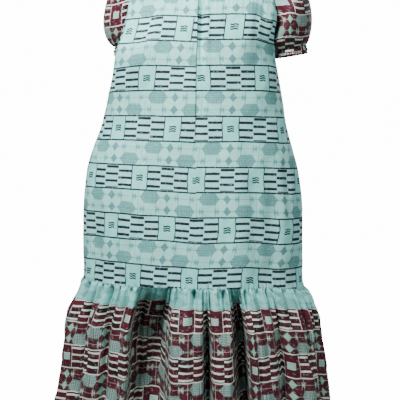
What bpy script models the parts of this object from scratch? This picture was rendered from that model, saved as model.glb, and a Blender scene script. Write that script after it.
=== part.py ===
"""A loose A-line maxi dress of wax-printed cotton, with the hollow form that it has when it is worn.

Metres, +Z up. The origin lies midway between the neck ends of the shoulder seams, where the wearer's
shoulders carry the dress. The front faces -Y and the wearer's left is +X. A place round the body is
its turn in degrees: 0 at the centre front, 90 at the left side, 180 at the centre back, -90 at the
right side.
"""

import math
from collections import namedtuple

import bmesh
import bpy

# The cloth
WALL = 0.0015
SEAM_GAP = 0.0005
SHOULDER_GAP = 0.0012  # wider, because the two edges lean towards each other underneath
SIDE_GAP_TURN = 0.1  # degrees of turn that each panel stops short of the side seam

# Neck and shoulders
NECK_HALF_WIDTH = 0.095
NECK_FRONT_REACH = 0.084
NECK_FRONT_DROP = 0.100
NECK_BACK_REACH = 0.072
NECK_BACK_DROP = 0.026
NECKLINE_ROUNDNESS = 1.3
NECK_SHARE = 0.42  # the part of a panel's top edge that is neckline, the rest being shoulder seam
SHOULDER_DROP = 0.046
YOKE_Z = -0.140
BINDING_WIDTH = 0.010
BINDING_WALL = 0.0026
BINDING_COLUMNS = 44
BINDING_LEAN_IN = 0.6  # how far the binding leans in and rises for each metre of its width
BINDING_RISE = 0.8

# Armholes: upright ovals that hang from the shoulder seam's outer end
UNDERARM_Z = -0.252
ARMHOLE_HALF_HEIGHT = (-SHOULDER_DROP - UNDERARM_Z) / 2
ARMHOLE_MIDDLE_Z = (-SHOULDER_DROP + UNDERARM_Z) / 2
ARMHOLE_HALF_DEPTH = 0.072
UNDERARM_ROUNDNESS = 0.66  # 0.5 would be a plain oval, and more is more pointed
UNDERARM_SOFTNESS = 0.24  # the height over which the panels' square sides round off below it
ARMHOLE_BLEND_TURN = 40  # degrees from the armhole over which the shoulder takes its edge's shape
SIDE_EDGE_SHARPNESS = 6  # higher keeps the armhole's own shape closer to the side seam

# The tier seam, which dips at the wearer's left side and is higher on the right, and the hem
TIER_Z = -0.986
TIER_LEFT_DIP = 0.024
TIER_DIP_TURN = 60  # degrees from the left side over which the dip lies
TIER_RIGHT_RISE = 0.009
HEM_Z = -1.365

# Grid of each panel
FRONT_RIGHT_COLUMNS = 24
FRONT_LEFT_COLUMNS = 22
YOKE_COLUMNS = 38
YOKE_ROWS = 4
BACK_COLUMNS = 32
BACK_SHOULDER_ROWS = 4
ARMHOLE_SEAM_COLUMNS = (8, 10, 12, 13, 14, 15)  # sleeve columns at whose heights the panels have rows
LEVELS_BELOW_ARMHOLE = (-0.264, -0.282, -0.306, -0.340, -0.385, -0.450, -0.530, -0.630, -0.740, -0.860)
SLEEVE_COLUMNS = 32
SLEEVE_ROWS = 8
CUFF_ROWS = 2
TIER_GATHERS = 40
TIER_ROW_SHARES = (0, 0.02, 0.07, 0.16, 0.3, 0.5, 0.75, 1)

BODY_LEVELS = (
    YOKE_Z,
    *(
        ARMHOLE_MIDDLE_Z + ARMHOLE_HALF_HEIGHT * math.cos(2 * math.pi * column / SLEEVE_COLUMNS)
        for column in ARMHOLE_SEAM_COLUMNS
    ),
    UNDERARM_Z,
    *LEVELS_BELOW_ARMHOLE,
    TIER_Z,
)

# Gathers: how far each fold stands out, and the depth below its seam where it does so and is gone
Gathers = namedtuple("Gathers", "height crest_below gone_below left_over")
YOKE_GATHERS = Gathers(0.0026, 0.014, 0.075, 0.0)
TIER_TOP_GATHERS = Gathers(0.0042, 0.024, 0.260, 0.25)

# The pleat at the centre front: its right side laps over its left side
PLEAT_TOP_X = 0.001
PLEAT_END_X = -0.009
PLEAT_LAP = 0.018
PLEAT_LAP_END_Z = -0.500
PLEAT_END_Z = -0.600
PLEAT_EDGE = 0.002
PLEAT_HEIGHT = 0.0048
PLEAT_EASE = 0.060  # the width over which the lapping side comes up to the pleat

# On the right the front panel rolls round in front of the arm, which is held back: its side edge
# and the back panel's are tucked in behind the roll.
Section = namedtuple(
    "Section", "z right_half left_half front_depth back_depth right_tuck right_side_y"
)
SECTIONS = (
    Section(-0.046, 0.186, 0.204, 0.080, 0.070, 0.000, 0.000),
    Section(-0.140, 0.193, 0.218, 0.112, 0.108, 0.001, 0.000),
    Section(-0.205, 0.208, 0.229, 0.138, 0.122, 0.009, -0.004),
    Section(-0.252, 0.218, 0.227, 0.152, 0.128, 0.044, -0.016),
    Section(-0.305, 0.236, 0.226, 0.160, 0.132, 0.080, -0.032),
    Section(-0.360, 0.247, 0.238, 0.164, 0.136, 0.075, -0.032),
    Section(-0.445, 0.269, 0.253, 0.169, 0.143, 0.040, -0.012),
    Section(-0.520, 0.289, 0.265, 0.174, 0.151, 0.012, -0.003),
    Section(-0.594, 0.317, 0.285, 0.180, 0.160, 0.000, 0.000),
    Section(-0.650, 0.331, 0.300, 0.184, 0.168, 0.000, 0.000),
    Section(-0.744, 0.344, 0.313, 0.190, 0.178, 0.000, 0.000),
    Section(-0.896, 0.346, 0.316, 0.197, 0.190, 0.000, 0.000),
    Section(-0.990, 0.348, 0.317, 0.200, 0.196, 0.000, 0.000),
    Section(-1.036, 0.367, 0.339, 0.212, 0.208, 0.000, 0.000),
    Section(-1.086, 0.390, 0.357, 0.226, 0.222, 0.000, 0.000),
    Section(-1.135, 0.402, 0.370, 0.236, 0.232, 0.000, 0.000),
    Section(-1.234, 0.412, 0.388, 0.248, 0.244, 0.000, 0.000),
    Section(-1.365, 0.434, 0.406, 0.262, 0.258, 0.000, 0.000),
)
MOST_TUCK = max(section.right_tuck for section in SECTIONS)
ROLL_DEPTH = 0.056
ROLL_TURN = 22  # degrees of the front panel's turn that lie in the roll where it is fullest
ROLL_ARC = 50

# A fold rises from nothing at its top, is deepest at its crest and is gone at its end. It stands out
# where its depth is above zero and sinks in where it is below.
Fold = namedtuple("Fold", "name top_turn end_turn half_width depth top_z crest_z end_z")
FOLDS = (
    Fold("right armhole crease", -46, -52, 13, -0.007, -0.13, -0.20, -0.36),
    Fold("right chest roll", -30, -28, 14, 0.004, -0.14, -0.22, -0.42),
    Fold("left armhole crease", 58, 56, 12, -0.007, -0.13, -0.20, -0.34),
    Fold("left chest roll", 38, 36, 14, 0.004, -0.14, -0.24, -0.42),
    Fold("right front trough", -14, -10, 13, -0.010, -0.50, -0.90, -1.20),
    Fold("right front roll", -34, -33, 14, 0.008, -0.46, -0.86, -1.15),
    Fold("right side trough", -62, -60, 11, -0.009, -0.52, -0.88, -1.15),
    Fold("left front roll", 20, 23, 12, 0.009, -0.42, -0.88, -1.15),
    Fold("left front trough", 44, 43, 10, -0.008, -0.48, -0.82, -1.10),
    Fold("left side pull", 74, 68, 9, -0.008, -0.62, -0.74, -0.90),
    Fold("left back trough", 122, 120, 14, -0.011, -0.34, -0.86, -1.15),
    Fold("left back roll", 148, 150, 15, 0.010, -0.38, -0.88, -1.15),
    Fold("centre back trough", 176, 178, 14, -0.012, -0.30, -0.84, -1.15),
    Fold("right back roll", 206, 208, 14, 0.010, -0.36, -0.88, -1.15),
    Fold("right back trough", 236, 238, 14, -0.010, -0.42, -0.86, -1.15),
    Fold("tier right side trough", -60, -64, 9, -0.020, -0.98, -1.28, -1.70),
    Fold("tier right side roll", -74, -76, 8, 0.010, -1.00, -1.30, -1.70),
    Fold("tier right front trough", -39, -40, 7, -0.020, -0.98, -1.22, -1.70),
    Fold("tier right front roll", -28, -30, 8, 0.014, -1.00, -1.30, -1.70),
    Fold("tier deep front trough", -15, -19, 9, -0.058, -0.97, -1.22, -1.75),
    Fold("tier middle roll", -5, -6, 7, 0.014, -1.00, -1.28, -1.70),
    Fold("tier middle trough", 3, 3, 6, -0.020, -0.99, -1.26, -1.70),
    Fold("tier left middle roll", 10, 10, 6, 0.013, -1.00, -1.28, -1.70),
    Fold("tier deep left trough", 19, 19.5, 7, -0.052, -0.97, -1.20, -1.75),
    Fold("tier left front roll", 29, 29, 8, 0.015, -1.00, -1.28, -1.70),
    Fold("tier left front trough", 40, 40, 7, -0.022, -0.98, -1.24, -1.70),
    Fold("tier left side roll", 55, 56, 9, 0.010, -1.00, -1.30, -1.70),
    Fold("tier left side trough", 70, 72, 9, -0.016, -1.00, -1.30, -1.70),
    Fold("tier back trough 1", 106, 106, 9, -0.020, -0.98, -1.26, -1.70),
    Fold("tier back roll 1", 120, 121, 9, 0.012, -1.00, -1.30, -1.70),
    Fold("tier back trough 2", 136, 136, 8, -0.024, -0.98, -1.28, -1.70),
    Fold("tier back roll 2", 149, 150, 8, 0.010, -1.00, -1.30, -1.70),
    Fold("tier back trough 3", 163, 162, 8, -0.018, -0.98, -1.22, -1.70),
    Fold("tier back roll 3", 177, 177, 9, 0.013, -1.00, -1.30, -1.70),
    Fold("tier back trough 4", 192, 193, 8, -0.026, -0.98, -1.27, -1.70),
    Fold("tier back roll 4", 206, 206, 9, 0.011, -1.00, -1.30, -1.70),
    Fold("tier back trough 5", 221, 220, 8, -0.019, -0.98, -1.25, -1.70),
    Fold("tier back roll 5", 235, 236, 8, 0.012, -1.00, -1.30, -1.70),
    Fold("tier back trough 6", 249, 249, 9, -0.020, -0.98, -1.28, -1.70),
)

Sleeve = namedtuple(
    "Sleeve",
    "side cuff_x cuff_y cuff_z cuff_tilt cuff_half_width cuff_half_depth"
    " top_out under_out front_out back_out top_rise low_puff top_fall under_fall",
)
SLEEVES = {
    "left": Sleeve(1, 0.284, 0.006, -0.290, 0.008, 0.046, 0.052,
                   0.112, 0.014, 0.030, 0.026, 0.022, 0.022, 0.120, 0.026),
    "right": Sleeve(-1, -0.2095, 0.036, -0.291, 0.004, 0.040, 0.046,
                    0.078, 0.010, -0.024, 0.030, 0.018, 0.050, 0.084, 0.026),
}
ARMHOLE_EASE = 0.0012  # the sleeve's seam edge lies this far inside the armhole
BODY_SIDE_PUFF = 0.2  # a sleeve puffs this much towards the body for its puff away from it
SLEEVE_HEAD_GATHER = 0.0030
SLEEVE_CUFF_GATHER = 0.0034
HEAD_CREST = 0.12  # shares of the way down the sleeve
CUFF_GATHER_START = 0.55
GATHER_FADE = 0.4
CUFF_HEIGHT = 0.023
CUFF_FLARE = 0.0015

MINT = (0.52, 0.73, 0.70)
WINE = (0.16, 0.035, 0.06)


def smooth(share):
    """0 to 1 with a soft start and end, held outside that range."""
    share = min(max(share, 0.0), 1.0)
    return share * share * (3 - 2 * share)


def mix(first, second, share):
    return first + (second - first) * share


def section_value(column, z):
    """A column of SECTIONS at height z, on a smooth curve through the rows."""
    rows = SECTIONS
    z = min(max(z, rows[-1].z), rows[0].z)
    upper = max(i for i in range(len(rows) - 1) if rows[i].z >= z)

    def slope(i):
        before, after = rows[max(i - 1, 0)], rows[min(i + 1, len(rows) - 1)]
        return (getattr(after, column) - getattr(before, column)) / (after.z - before.z)

    top, low = rows[upper], rows[upper + 1]
    run = low.z - top.z
    t = (z - top.z) / run
    start, end = getattr(top, column), getattr(low, column)
    return (
        (2 * t**3 - 3 * t**2 + 1) * start
        + (t**3 - 2 * t**2 + t) * run * slope(upper)
        + (3 * t**2 - 2 * t**3) * end
        + (t**3 - t**2) * run * slope(upper + 1)
    )


def armhole_reach(z):
    """How far the armhole's edge lies before and behind the side seam at height z."""
    height = (z - ARMHOLE_MIDDLE_Z) / ARMHOLE_HALF_HEIGHT
    roundness = 0.5 if height > 0 else UNDERARM_ROUNDNESS
    return ARMHOLE_HALF_DEPTH * max(1 - height * height, 0.0) ** roundness


def side_reach(turn, z):
    """How square a panel is towards the side seam: the armhole's reach at its edge, and softer inwards."""
    below = (ARMHOLE_MIDDLE_Z - z) / UNDERARM_SOFTNESS
    soft = ARMHOLE_HALF_DEPTH * (1 - smooth(below))
    edge = armhole_reach(z) if z > UNDERARM_Z else 0.0
    sideways = 1 - abs(math.cos(math.radians(turn)))
    return mix(soft, edge, sideways**SIDE_EDGE_SHARPNESS)


def fold_height(turn, z):
    """How far all the folds together stand out of the plain section."""
    height = 0.0
    for fold in FOLDS:
        if not fold.end_z < z < fold.top_z:
            continue
        share = (fold.top_z - z) / (fold.top_z - fold.end_z)
        centre = mix(fold.top_turn, fold.end_turn, share)
        across = ((turn - centre + 180) % 360 - 180) / fold.half_width
        if abs(across) >= 1:
            continue
        if z > fold.crest_z:
            strength = smooth((fold.top_z - z) / (fold.top_z - fold.crest_z))
        else:
            strength = smooth((z - fold.end_z) / (fold.crest_z - fold.end_z))
        height += fold.depth * strength * (1 + math.cos(math.pi * across)) / 2
    return height


def right_tuck(z):
    return max(section_value("right_tuck", z), 0.0)


def rolled_front(turn, z, half, depth, reach):
    """The right half of the front panel at height z, and which way it faces."""
    strength = right_tuck(z) / MOST_TUCK
    roll = ROLL_DEPTH * strength
    roll_start = 90 - ROLL_TURN * strength
    side_y = section_value("right_side_y", z)
    if abs(turn) < roll_start:
        angle = math.radians(90 * turn / roll_start)
        x = half * math.sin(angle)
        y = -(depth - reach - roll) * math.cos(angle) - reach - roll
        y += side_y * math.sin(angle) ** 2
        return x, y, math.sin(angle) / half, -math.cos(angle) / depth
    share = (abs(turn) - roll_start) / (90 - roll_start)
    arc, whole = math.radians(ROLL_ARC * share), math.radians(ROLL_ARC)
    x = -half + right_tuck(z) * (1 - math.cos(arc)) / (1 - math.cos(whole))
    y = side_y - reach - roll * (1 - math.sin(arc) / math.sin(whole))
    return x, y, -math.cos(arc), math.sin(arc)


def skin_point(turn, z, lift=0.0):
    """A point of the dress below the shoulders, lift metres out of its folded surface."""
    sine, cosine = math.sin(math.radians(turn)), math.cos(math.radians(turn))
    half = section_value("left_half" if sine > 0 else "right_half", z)
    depth = section_value("front_depth" if cosine > 0 else "back_depth", z)
    reach = side_reach(turn, z)
    if sine < 0 < cosine:
        x, y, normal_x, normal_y = rolled_front(turn, z, half, depth, reach)
    else:
        if sine < 0:
            half -= right_tuck(z)
        x = half * sine
        y = -(depth - reach) * cosine - math.copysign(reach, cosine)
        if sine < 0:
            y += section_value("right_side_y", z) * sine * sine
        normal_x, normal_y = sine / half, -cosine / depth
    out = (fold_height(turn, z) + lift) / math.hypot(normal_x, normal_y)
    return x + normal_x * out, y + normal_y * out, z


def half_at(side, z):
    """How far out the side edge of the panels lies at height z."""
    if side > 0:
        return section_value("left_half", z)
    return section_value("right_half", z) - right_tuck(z)


def armhole_point(side, around):
    """A point of the armhole: 0 at the shoulder, 0.25 in front, 0.5 at the underarm, 0.75 behind."""
    angle = 2 * math.pi * around
    z = ARMHOLE_MIDDLE_Z + ARMHOLE_HALF_HEIGHT * math.cos(angle)
    side_y = section_value("right_side_y", z) if side < 0 else 0.0
    return side * half_at(side, z), side_y - math.copysign(armhole_reach(z), math.sin(angle)), z


def neckline_point(turn):
    """A point of the neckline, which is lower and further out in front than behind."""
    sine, cosine = math.sin(math.radians(turn)), math.cos(math.radians(turn))
    reach = NECK_FRONT_REACH if cosine > 0 else NECK_BACK_REACH
    drop = NECK_FRONT_DROP if cosine > 0 else NECK_BACK_DROP
    return NECK_HALF_WIDTH * sine, -reach * cosine, -drop * abs(cosine) ** NECKLINE_ROUNDNESS


def top_edge_point(turn):
    """The neckline, then the shoulder seam out to the armhole, for a front or a back panel."""
    back = abs(turn) > 90
    from_centre = turn - 180 if back else turn
    side = math.copysign(1, from_centre if not back else -from_centre)
    share = abs(from_centre) / 90
    if share < NECK_SHARE:
        neck_turn = from_centre / NECK_SHARE
        return neckline_point(neck_turn + 180 if back else neck_turn)
    out = (share - NECK_SHARE) / (1 - NECK_SHARE)
    return (
        side * mix(NECK_HALF_WIDTH, half_at(side, -SHOULDER_DROP), out),
        SHOULDER_GAP / 2 if back else -SHOULDER_GAP / 2,
        -SHOULDER_DROP * out,
    )


def rolled(top, low, share):
    """From the top edge the cloth runs level, then turns down over the shoulder."""
    roll = math.radians(90 * share)
    return (
        mix(top[0], low[0], share),
        mix(top[1], low[1], math.sin(roll)),
        mix(top[2], low[2], 1 - math.cos(roll)),
    )


def shoulder_point(turn, share):
    """A point of the panels above the yoke line, at a share of the way down from the top edge."""
    side = 1 if math.sin(math.radians(turn)) > 0 else -1
    back = math.cos(math.radians(turn)) < 0
    edge_turn = 180 - side * 89.999 if back else side * 89.999
    plain = rolled(top_edge_point(turn), skin_point(turn, YOKE_Z), share)
    plain_edge = rolled(top_edge_point(edge_turn), skin_point(edge_turn, YOKE_Z), share)
    yoke_around = math.acos((YOKE_Z - ARMHOLE_MIDDLE_Z) / ARMHOLE_HALF_HEIGHT) / (2 * math.pi)
    around = yoke_around * share
    edge_x, edge_y, edge_z = armhole_point(side, 1 - around if back else around)
    edge = edge_x, edge_y + (SHOULDER_GAP if back else -SHOULDER_GAP) / 2, edge_z
    weight = 1 - smooth(abs(turn - edge_turn) / ARMHOLE_BLEND_TURN)
    return tuple(p + weight * (e - q) for p, e, q in zip(plain, edge, plain_edge))


def tier_seam_z(turn):
    """Height of the seam between the body and the gathered tier."""
    from_left = abs((turn - 90 + 180) % 360 - 180)
    rise = TIER_RIGHT_RISE * (1 - math.sin(math.radians(turn))) / 2
    return TIER_Z + rise - TIER_LEFT_DIP * (1 - smooth(from_left / TIER_DIP_TURN))


def body_z(level, turn):
    """The height of a panel's row: level at the top, following the tier seam further down."""
    down = (YOKE_Z - level) / (YOKE_Z - TIER_Z)
    return level + (tier_seam_z(turn) - TIER_Z) * down**3


def gather_height(gathers, below, column):
    """A gather's lift at a depth below its seam: it stands out and sinks in on alternate columns."""
    if below < gathers.crest_below:
        strength = smooth(below / gathers.crest_below)
    else:
        fading = (below - gathers.crest_below) / (gathers.gone_below - gathers.crest_below)
        strength = mix(1, gathers.left_over, smooth(fading))
    uneven = 0.8 + 0.25 * math.sin(column * 2.4) + 0.15 * math.sin(column * 0.7)
    return gathers.height * strength * uneven * (1 if column % 2 else -1)


def material(name, colour, roughness):
    made = bpy.data.materials.new(name)
    made.use_nodes = True
    shader = made.node_tree.nodes["Principled BSDF"]
    shader.inputs["Base Color"].default_value = (*colour, 1)
    shader.inputs["Roughness"].default_value = roughness
    made.diffuse_color = (*colour, 1)
    return made


def cloth(name, columns, rows, point, skin, facing=1, tube=False, wall=WALL):
    """A cloth wall on a grid: point(column, row) gives each place on its outer side."""
    shape = bmesh.new()
    bmesh.ops.create_grid(shape, x_segments=columns, y_segments=rows, size=0.5)
    for vertex in shape.verts:
        column = round((vertex.co.x + 0.5) * columns)
        row = round((vertex.co.y + 0.5) * rows)
        vertex.co = point(column % columns if tube else column, row)
    if tube:
        bmesh.ops.remove_doubles(shape, verts=shape.verts, dist=1e-6)
    if facing < 0:
        bmesh.ops.reverse_faces(shape, faces=shape.faces)
    mesh = bpy.data.meshes.new(name)
    shape.to_mesh(mesh)
    shape.free()
    mesh.shade_smooth()
    mesh.materials.append(skin)
    piece = bpy.data.objects.new(name, mesh)
    solid = piece.modifiers.new("wall", "SOLIDIFY")
    solid.thickness = wall
    solid.offset = -1
    return piece


def panel_turn(first, last, column, columns):
    """The turn of a panel's column, with its ends just short of the side seams."""
    return mix(first + SIDE_GAP_TURN, last - SIDE_GAP_TURN, column / columns)


def front_yoke(skin):
    def point(column, row):
        turn = panel_turn(-90, 90, column, YOKE_COLUMNS)
        return shoulder_point(turn, row / YOKE_ROWS)

    return cloth("front_yoke", YOKE_COLUMNS, YOKE_ROWS, point, skin, facing=-1)


def pleat_points(z):
    """The pleat's columns at height z, each as its x and how far it stands out."""
    down = (YOKE_Z - z) / (YOKE_Z - PLEAT_END_Z)
    edge = mix(PLEAT_TOP_X, PLEAT_END_X, min(down, 1))
    lap = PLEAT_LAP * (1 - smooth((YOKE_Z - z) / (YOKE_Z - PLEAT_LAP_END_Z)))
    spread = smooth((PLEAT_LAP_END_Z - z) / (PLEAT_LAP_END_Z - PLEAT_END_Z))
    height = PLEAT_HEIGHT * (1 - spread)
    folded = (-PLEAT_EDGE, 0, -PLEAT_EDGE, -lap - PLEAT_EDGE, -lap - PLEAT_EDGE * 1.3, -lap - PLEAT_EDGE)
    heights = (1, 0.58, 0.17, 0.17, 0.08, 0)
    return [
        (edge + mix(x, PLEAT_EDGE * (step - 1), spread), height * share)
        for step, (x, share) in enumerate(zip(folded, heights))
    ]


def front_body(skin):
    pleat_columns = len(pleat_points(YOKE_Z)) - 1
    columns = FRONT_RIGHT_COLUMNS + pleat_columns + FRONT_LEFT_COLUMNS

    def turn_of(x, z):
        half = section_value("left_half" if x > 0 else "right_half", z)
        return math.degrees(math.asin(x / half))

    def point(column, row):
        level = BODY_LEVELS[row] - (SEAM_GAP if row == 0 else 0)
        pleat = pleat_points(level)
        right_end, left_start = turn_of(pleat[0][0], level), turn_of(pleat[-1][0], level)
        if column <= FRONT_RIGHT_COLUMNS:
            share = column / FRONT_RIGHT_COLUMNS
            turn = mix(-90 + SIDE_GAP_TURN, right_end, share)
            from_pleat = pleat[0][0] - section_value("right_half", level) * math.sin(math.radians(turn))
            lift = pleat[0][1] * (1 - smooth(from_pleat / PLEAT_EASE))
        elif column < FRONT_RIGHT_COLUMNS + pleat_columns:
            x, lift = pleat[column - FRONT_RIGHT_COLUMNS]
            turn, share = turn_of(x, level), 1
        else:
            share = (columns - column) / FRONT_LEFT_COLUMNS
            turn, lift = mix(90 - SIDE_GAP_TURN, left_start, share), 0.0
        z = body_z(level, turn)
        if 0.05 < share < 1:
            lift += gather_height(YOKE_GATHERS, YOKE_Z - z, column)
        return skin_point(turn, z, lift)

    return cloth("front_body", columns, len(BODY_LEVELS) - 1, point, skin, facing=-1)


def back_body(skin):
    def point(column, row):
        turn = panel_turn(90, 270, column, BACK_COLUMNS)
        if row <= BACK_SHOULDER_ROWS:
            return shoulder_point(turn, row / BACK_SHOULDER_ROWS)
        return skin_point(turn, body_z(BODY_LEVELS[row - BACK_SHOULDER_ROWS], turn))

    rows = BACK_SHOULDER_ROWS + len(BODY_LEVELS) - 1
    return cloth("back_body", BACK_COLUMNS, rows, point, skin, facing=-1)


def tier(name, first, last, skin):
    """Half of the gathered tier at the hem, from one side seam to the other."""
    columns = 2 * TIER_GATHERS

    def point(column, row):
        turn = panel_turn(first, last, column, columns)
        top = tier_seam_z(turn) - SEAM_GAP
        z = mix(top, HEM_Z, TIER_ROW_SHARES[row])
        from_edge = min(column, columns - column)
        lift = gather_height(TIER_TOP_GATHERS, top - z, column) if from_edge > 1 else 0.0
        return skin_point(turn, z, lift)

    return cloth(name, columns, len(TIER_ROW_SHARES) - 1, point, skin, facing=-1)


def sleeve_gather(column):
    """Out and in on alternate columns, by uneven amounts."""
    uneven = 0.85 + 0.2 * math.sin(column * 1.9)
    return uneven if column % 2 else -uneven


def cuff_point(sleeve, around, below, lift):
    """A point of the elastic cuff: 0 on the arm's outer side, 0.25 in front, 0.5 beside the body."""
    angle = 2 * math.pi * around
    widen = lift + CUFF_FLARE * below / CUFF_HEIGHT
    return (
        sleeve.cuff_x + sleeve.side * (sleeve.cuff_half_width + widen) * math.cos(angle),
        sleeve.cuff_y - (sleeve.cuff_half_depth + widen) * math.sin(angle),
        sleeve.cuff_z + sleeve.cuff_tilt * math.cos(angle) - below,
    )


def sleeve_point(sleeve, column, row):
    """A point of a puff sleeve, on a curve from the armhole out and down to the cuff."""
    around, along = column / SLEEVE_COLUMNS, row / SLEEVE_ROWS
    angle = 2 * math.pi * around
    up = (1 + math.cos(angle)) / 2
    sideways = math.sin(angle)
    fore = sleeve.front_out if sideways > 0 else sleeve.back_out
    leaving = math.copysign(math.sqrt(abs(sideways)), sideways)
    edge_x, edge_y, edge_z = armhole_point(sleeve.side, around)
    start = (
        edge_x + sleeve.side * SEAM_GAP,
        edge_y + ARMHOLE_EASE * sideways,
        edge_z - ARMHOLE_EASE * math.cos(angle),
    )
    end = cuff_point(sleeve, around, 0, 0)
    leave = (
        start[0] + sleeve.side * mix(sleeve.under_out, sleeve.top_out, up),
        start[1] - fore * leaving,
        start[2] + mix(0, sleeve.top_rise, up),
    )
    arrive = (
        end[0] + sleeve.side * sleeve.low_puff * mix(BODY_SIDE_PUFF, 1, up) * math.cos(angle),
        end[1] - (sleeve.low_puff + fore) * sideways,
        end[2] + mix(sleeve.under_fall, sleeve.top_fall, up),
    )
    t = along
    weights = ((1 - t) ** 3, 3 * t * (1 - t) ** 2, 3 * t * t * (1 - t), t**3)
    corners = (start, leave, arrive, end)
    place = [sum(w * corner[axis] for w, corner in zip(weights, corners)) for axis in range(3)]
    head_fade = smooth((along - HEAD_CREST) / GATHER_FADE)
    head = SLEEVE_HEAD_GATHER * up * smooth(along / HEAD_CREST) * (1 - head_fade)
    low = SLEEVE_CUFF_GATHER * smooth((along - CUFF_GATHER_START) / GATHER_FADE)
    lift = (head + low) * sleeve_gather(column)
    x = place[0] + sleeve.side * lift * math.cos(angle) * along
    y = place[1] - lift * sideways
    z = place[2] + lift * up * (1 - along)
    return x, y, z


def puff_sleeve(name, sleeve, skin):
    return cloth(
        name, SLEEVE_COLUMNS, SLEEVE_ROWS, lambda column, row: sleeve_point(sleeve, column, row),
        skin, facing=sleeve.side, tube=True,
    )


def cuff(name, sleeve, skin):
    def point(column, row):
        lift = SLEEVE_CUFF_GATHER * sleeve_gather(column)
        below = SEAM_GAP + CUFF_HEIGHT * row / CUFF_ROWS
        return cuff_point(sleeve, column / SLEEVE_COLUMNS, below, lift)

    return cloth(name, SLEEVE_COLUMNS, CUFF_ROWS, point, skin, facing=sleeve.side, tube=True)


def neck_binding(skin):
    """A strip of the border cloth round the neck edge, leaning in from the panels' top edges."""
    def point(column, row):
        turn = 360 * column / BINDING_COLUMNS
        x, y, z = neckline_point(turn)
        inwards = 2 * SEAM_GAP + BINDING_WIDTH * row
        lean = BINDING_LEAN_IN * inwards / math.hypot(x, y)
        return x - lean * x, y - lean * y, z + BINDING_RISE * inwards

    return cloth("neck_binding", BINDING_COLUMNS, 1, point, skin, tube=True, wall=BINDING_WALL)


def main():
    for old in list(bpy.data.objects):
        bpy.data.objects.remove(old)
    mint = material("mint_print", MINT, 0.75)
    wine = material("border_print", WINE, 0.7)
    pieces = [
        front_yoke(mint),
        front_body(mint),
        back_body(mint),
        neck_binding(wine),
        tier("tier_front", -90, 90, wine),
        tier("tier_back", 90, 270, wine),
    ]
    for name, sleeve in SLEEVES.items():
        pieces.append(puff_sleeve(f"sleeve_{name}", sleeve, wine))
        pieces.append(cuff(f"cuff_{name}", sleeve, wine))
    dress = bpy.data.collections.new("wax print dress")
    bpy.context.scene.collection.children.link(dress)
    for piece in pieces:
        dress.objects.link(piece)


main()
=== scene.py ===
"""The looks of a worn maxi dress of wax-printed cotton: its cloth shells, gathers, print and seams.

Metres, +Z up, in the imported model's frame. The origin lies midway between the neck ends of the
shoulder seams, the front faces -Y and the wearer's left is +X. A place round the body is its turn
in degrees: 0 at the centre front, 90 at the left side, 180 at the centre back, -90 at the right.
Every sheet's UV map holds its place on the flat cloth in metres, so the print lies along the cloth.
"""

import math
from collections import namedtuple

import bmesh
import bpy
import numpy as np
from bpy.props import FloatProperty, FloatVectorProperty, IntProperty, PointerProperty
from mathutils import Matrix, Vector


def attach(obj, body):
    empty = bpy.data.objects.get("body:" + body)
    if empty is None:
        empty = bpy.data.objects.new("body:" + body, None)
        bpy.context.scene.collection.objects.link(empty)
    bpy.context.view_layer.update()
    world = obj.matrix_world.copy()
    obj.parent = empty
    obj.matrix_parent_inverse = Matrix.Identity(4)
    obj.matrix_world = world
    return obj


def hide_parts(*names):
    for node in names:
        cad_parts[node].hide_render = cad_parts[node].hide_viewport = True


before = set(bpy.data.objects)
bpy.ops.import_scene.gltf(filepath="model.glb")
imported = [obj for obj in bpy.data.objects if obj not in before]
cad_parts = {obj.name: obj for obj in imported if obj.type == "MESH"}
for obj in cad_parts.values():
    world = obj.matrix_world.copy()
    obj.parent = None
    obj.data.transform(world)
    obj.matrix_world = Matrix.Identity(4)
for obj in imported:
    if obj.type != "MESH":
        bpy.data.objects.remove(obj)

bl_info = {
    "name": "Wax print dress",
    "version": (1, 0, 0),
    "blender": (4, 5, 0),
    "location": "3D View > Sidebar > Dress",
    "description": "A worn maxi dress of wax-printed cotton, with its seams, print and studio",
    "category": "Object",
}

# Seams
SEAM_GAP = 0.0002
SEAM_TUCK_IN = 0.004  # how far in the tier's seam allowance is turned behind the body
SEAM_TUCK_UP = 0.005  # and how far up it reaches
SEAM_CALM = 0.012  # how far from the tier's seam the cloth lies calm
SHOULDER_GAP = 0.0002
SIDE_GAP_TURN = 0.002  # degrees of turn that each panel stops short of the side seam
SEAM_SINK = 0.0012  # how far the cloth dips into a seam, and over what width
SEAM_SINK_WIDTH = 0.004
EDGE_TURN = 89.999  # degrees to a panel's side edge, where it is worked out
MERGE_DISTANCE = 1e-6  # within which the two ends of a tube's rows become one
NO_WIDTH = 1e-9  # stands in for a width of nothing in a division

# Neck and shoulders
NECK_HALF_WIDTH = 0.095
NECK_FRONT_REACH = 0.084
NECK_FRONT_DROP = 0.100
NECK_BACK_REACH = 0.072
NECK_BACK_DROP = 0.026
NECKLINE_ROUNDNESS = 1.3
NECK_SHARE = 0.42  # the part of a panel's top edge that is neckline, the rest being shoulder seam
SHOULDER_DROP = 0.046
YOKE_Z = -0.140
BINDING_WIDTH = 0.010
BINDING_OVERLAP = 0.0008  # how far the binding reaches over the neck edge
BINDING_LEAN_IN = 0.6  # how far the binding leans in and rises for each metre of its width
BINDING_RISE = 0.8

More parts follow.
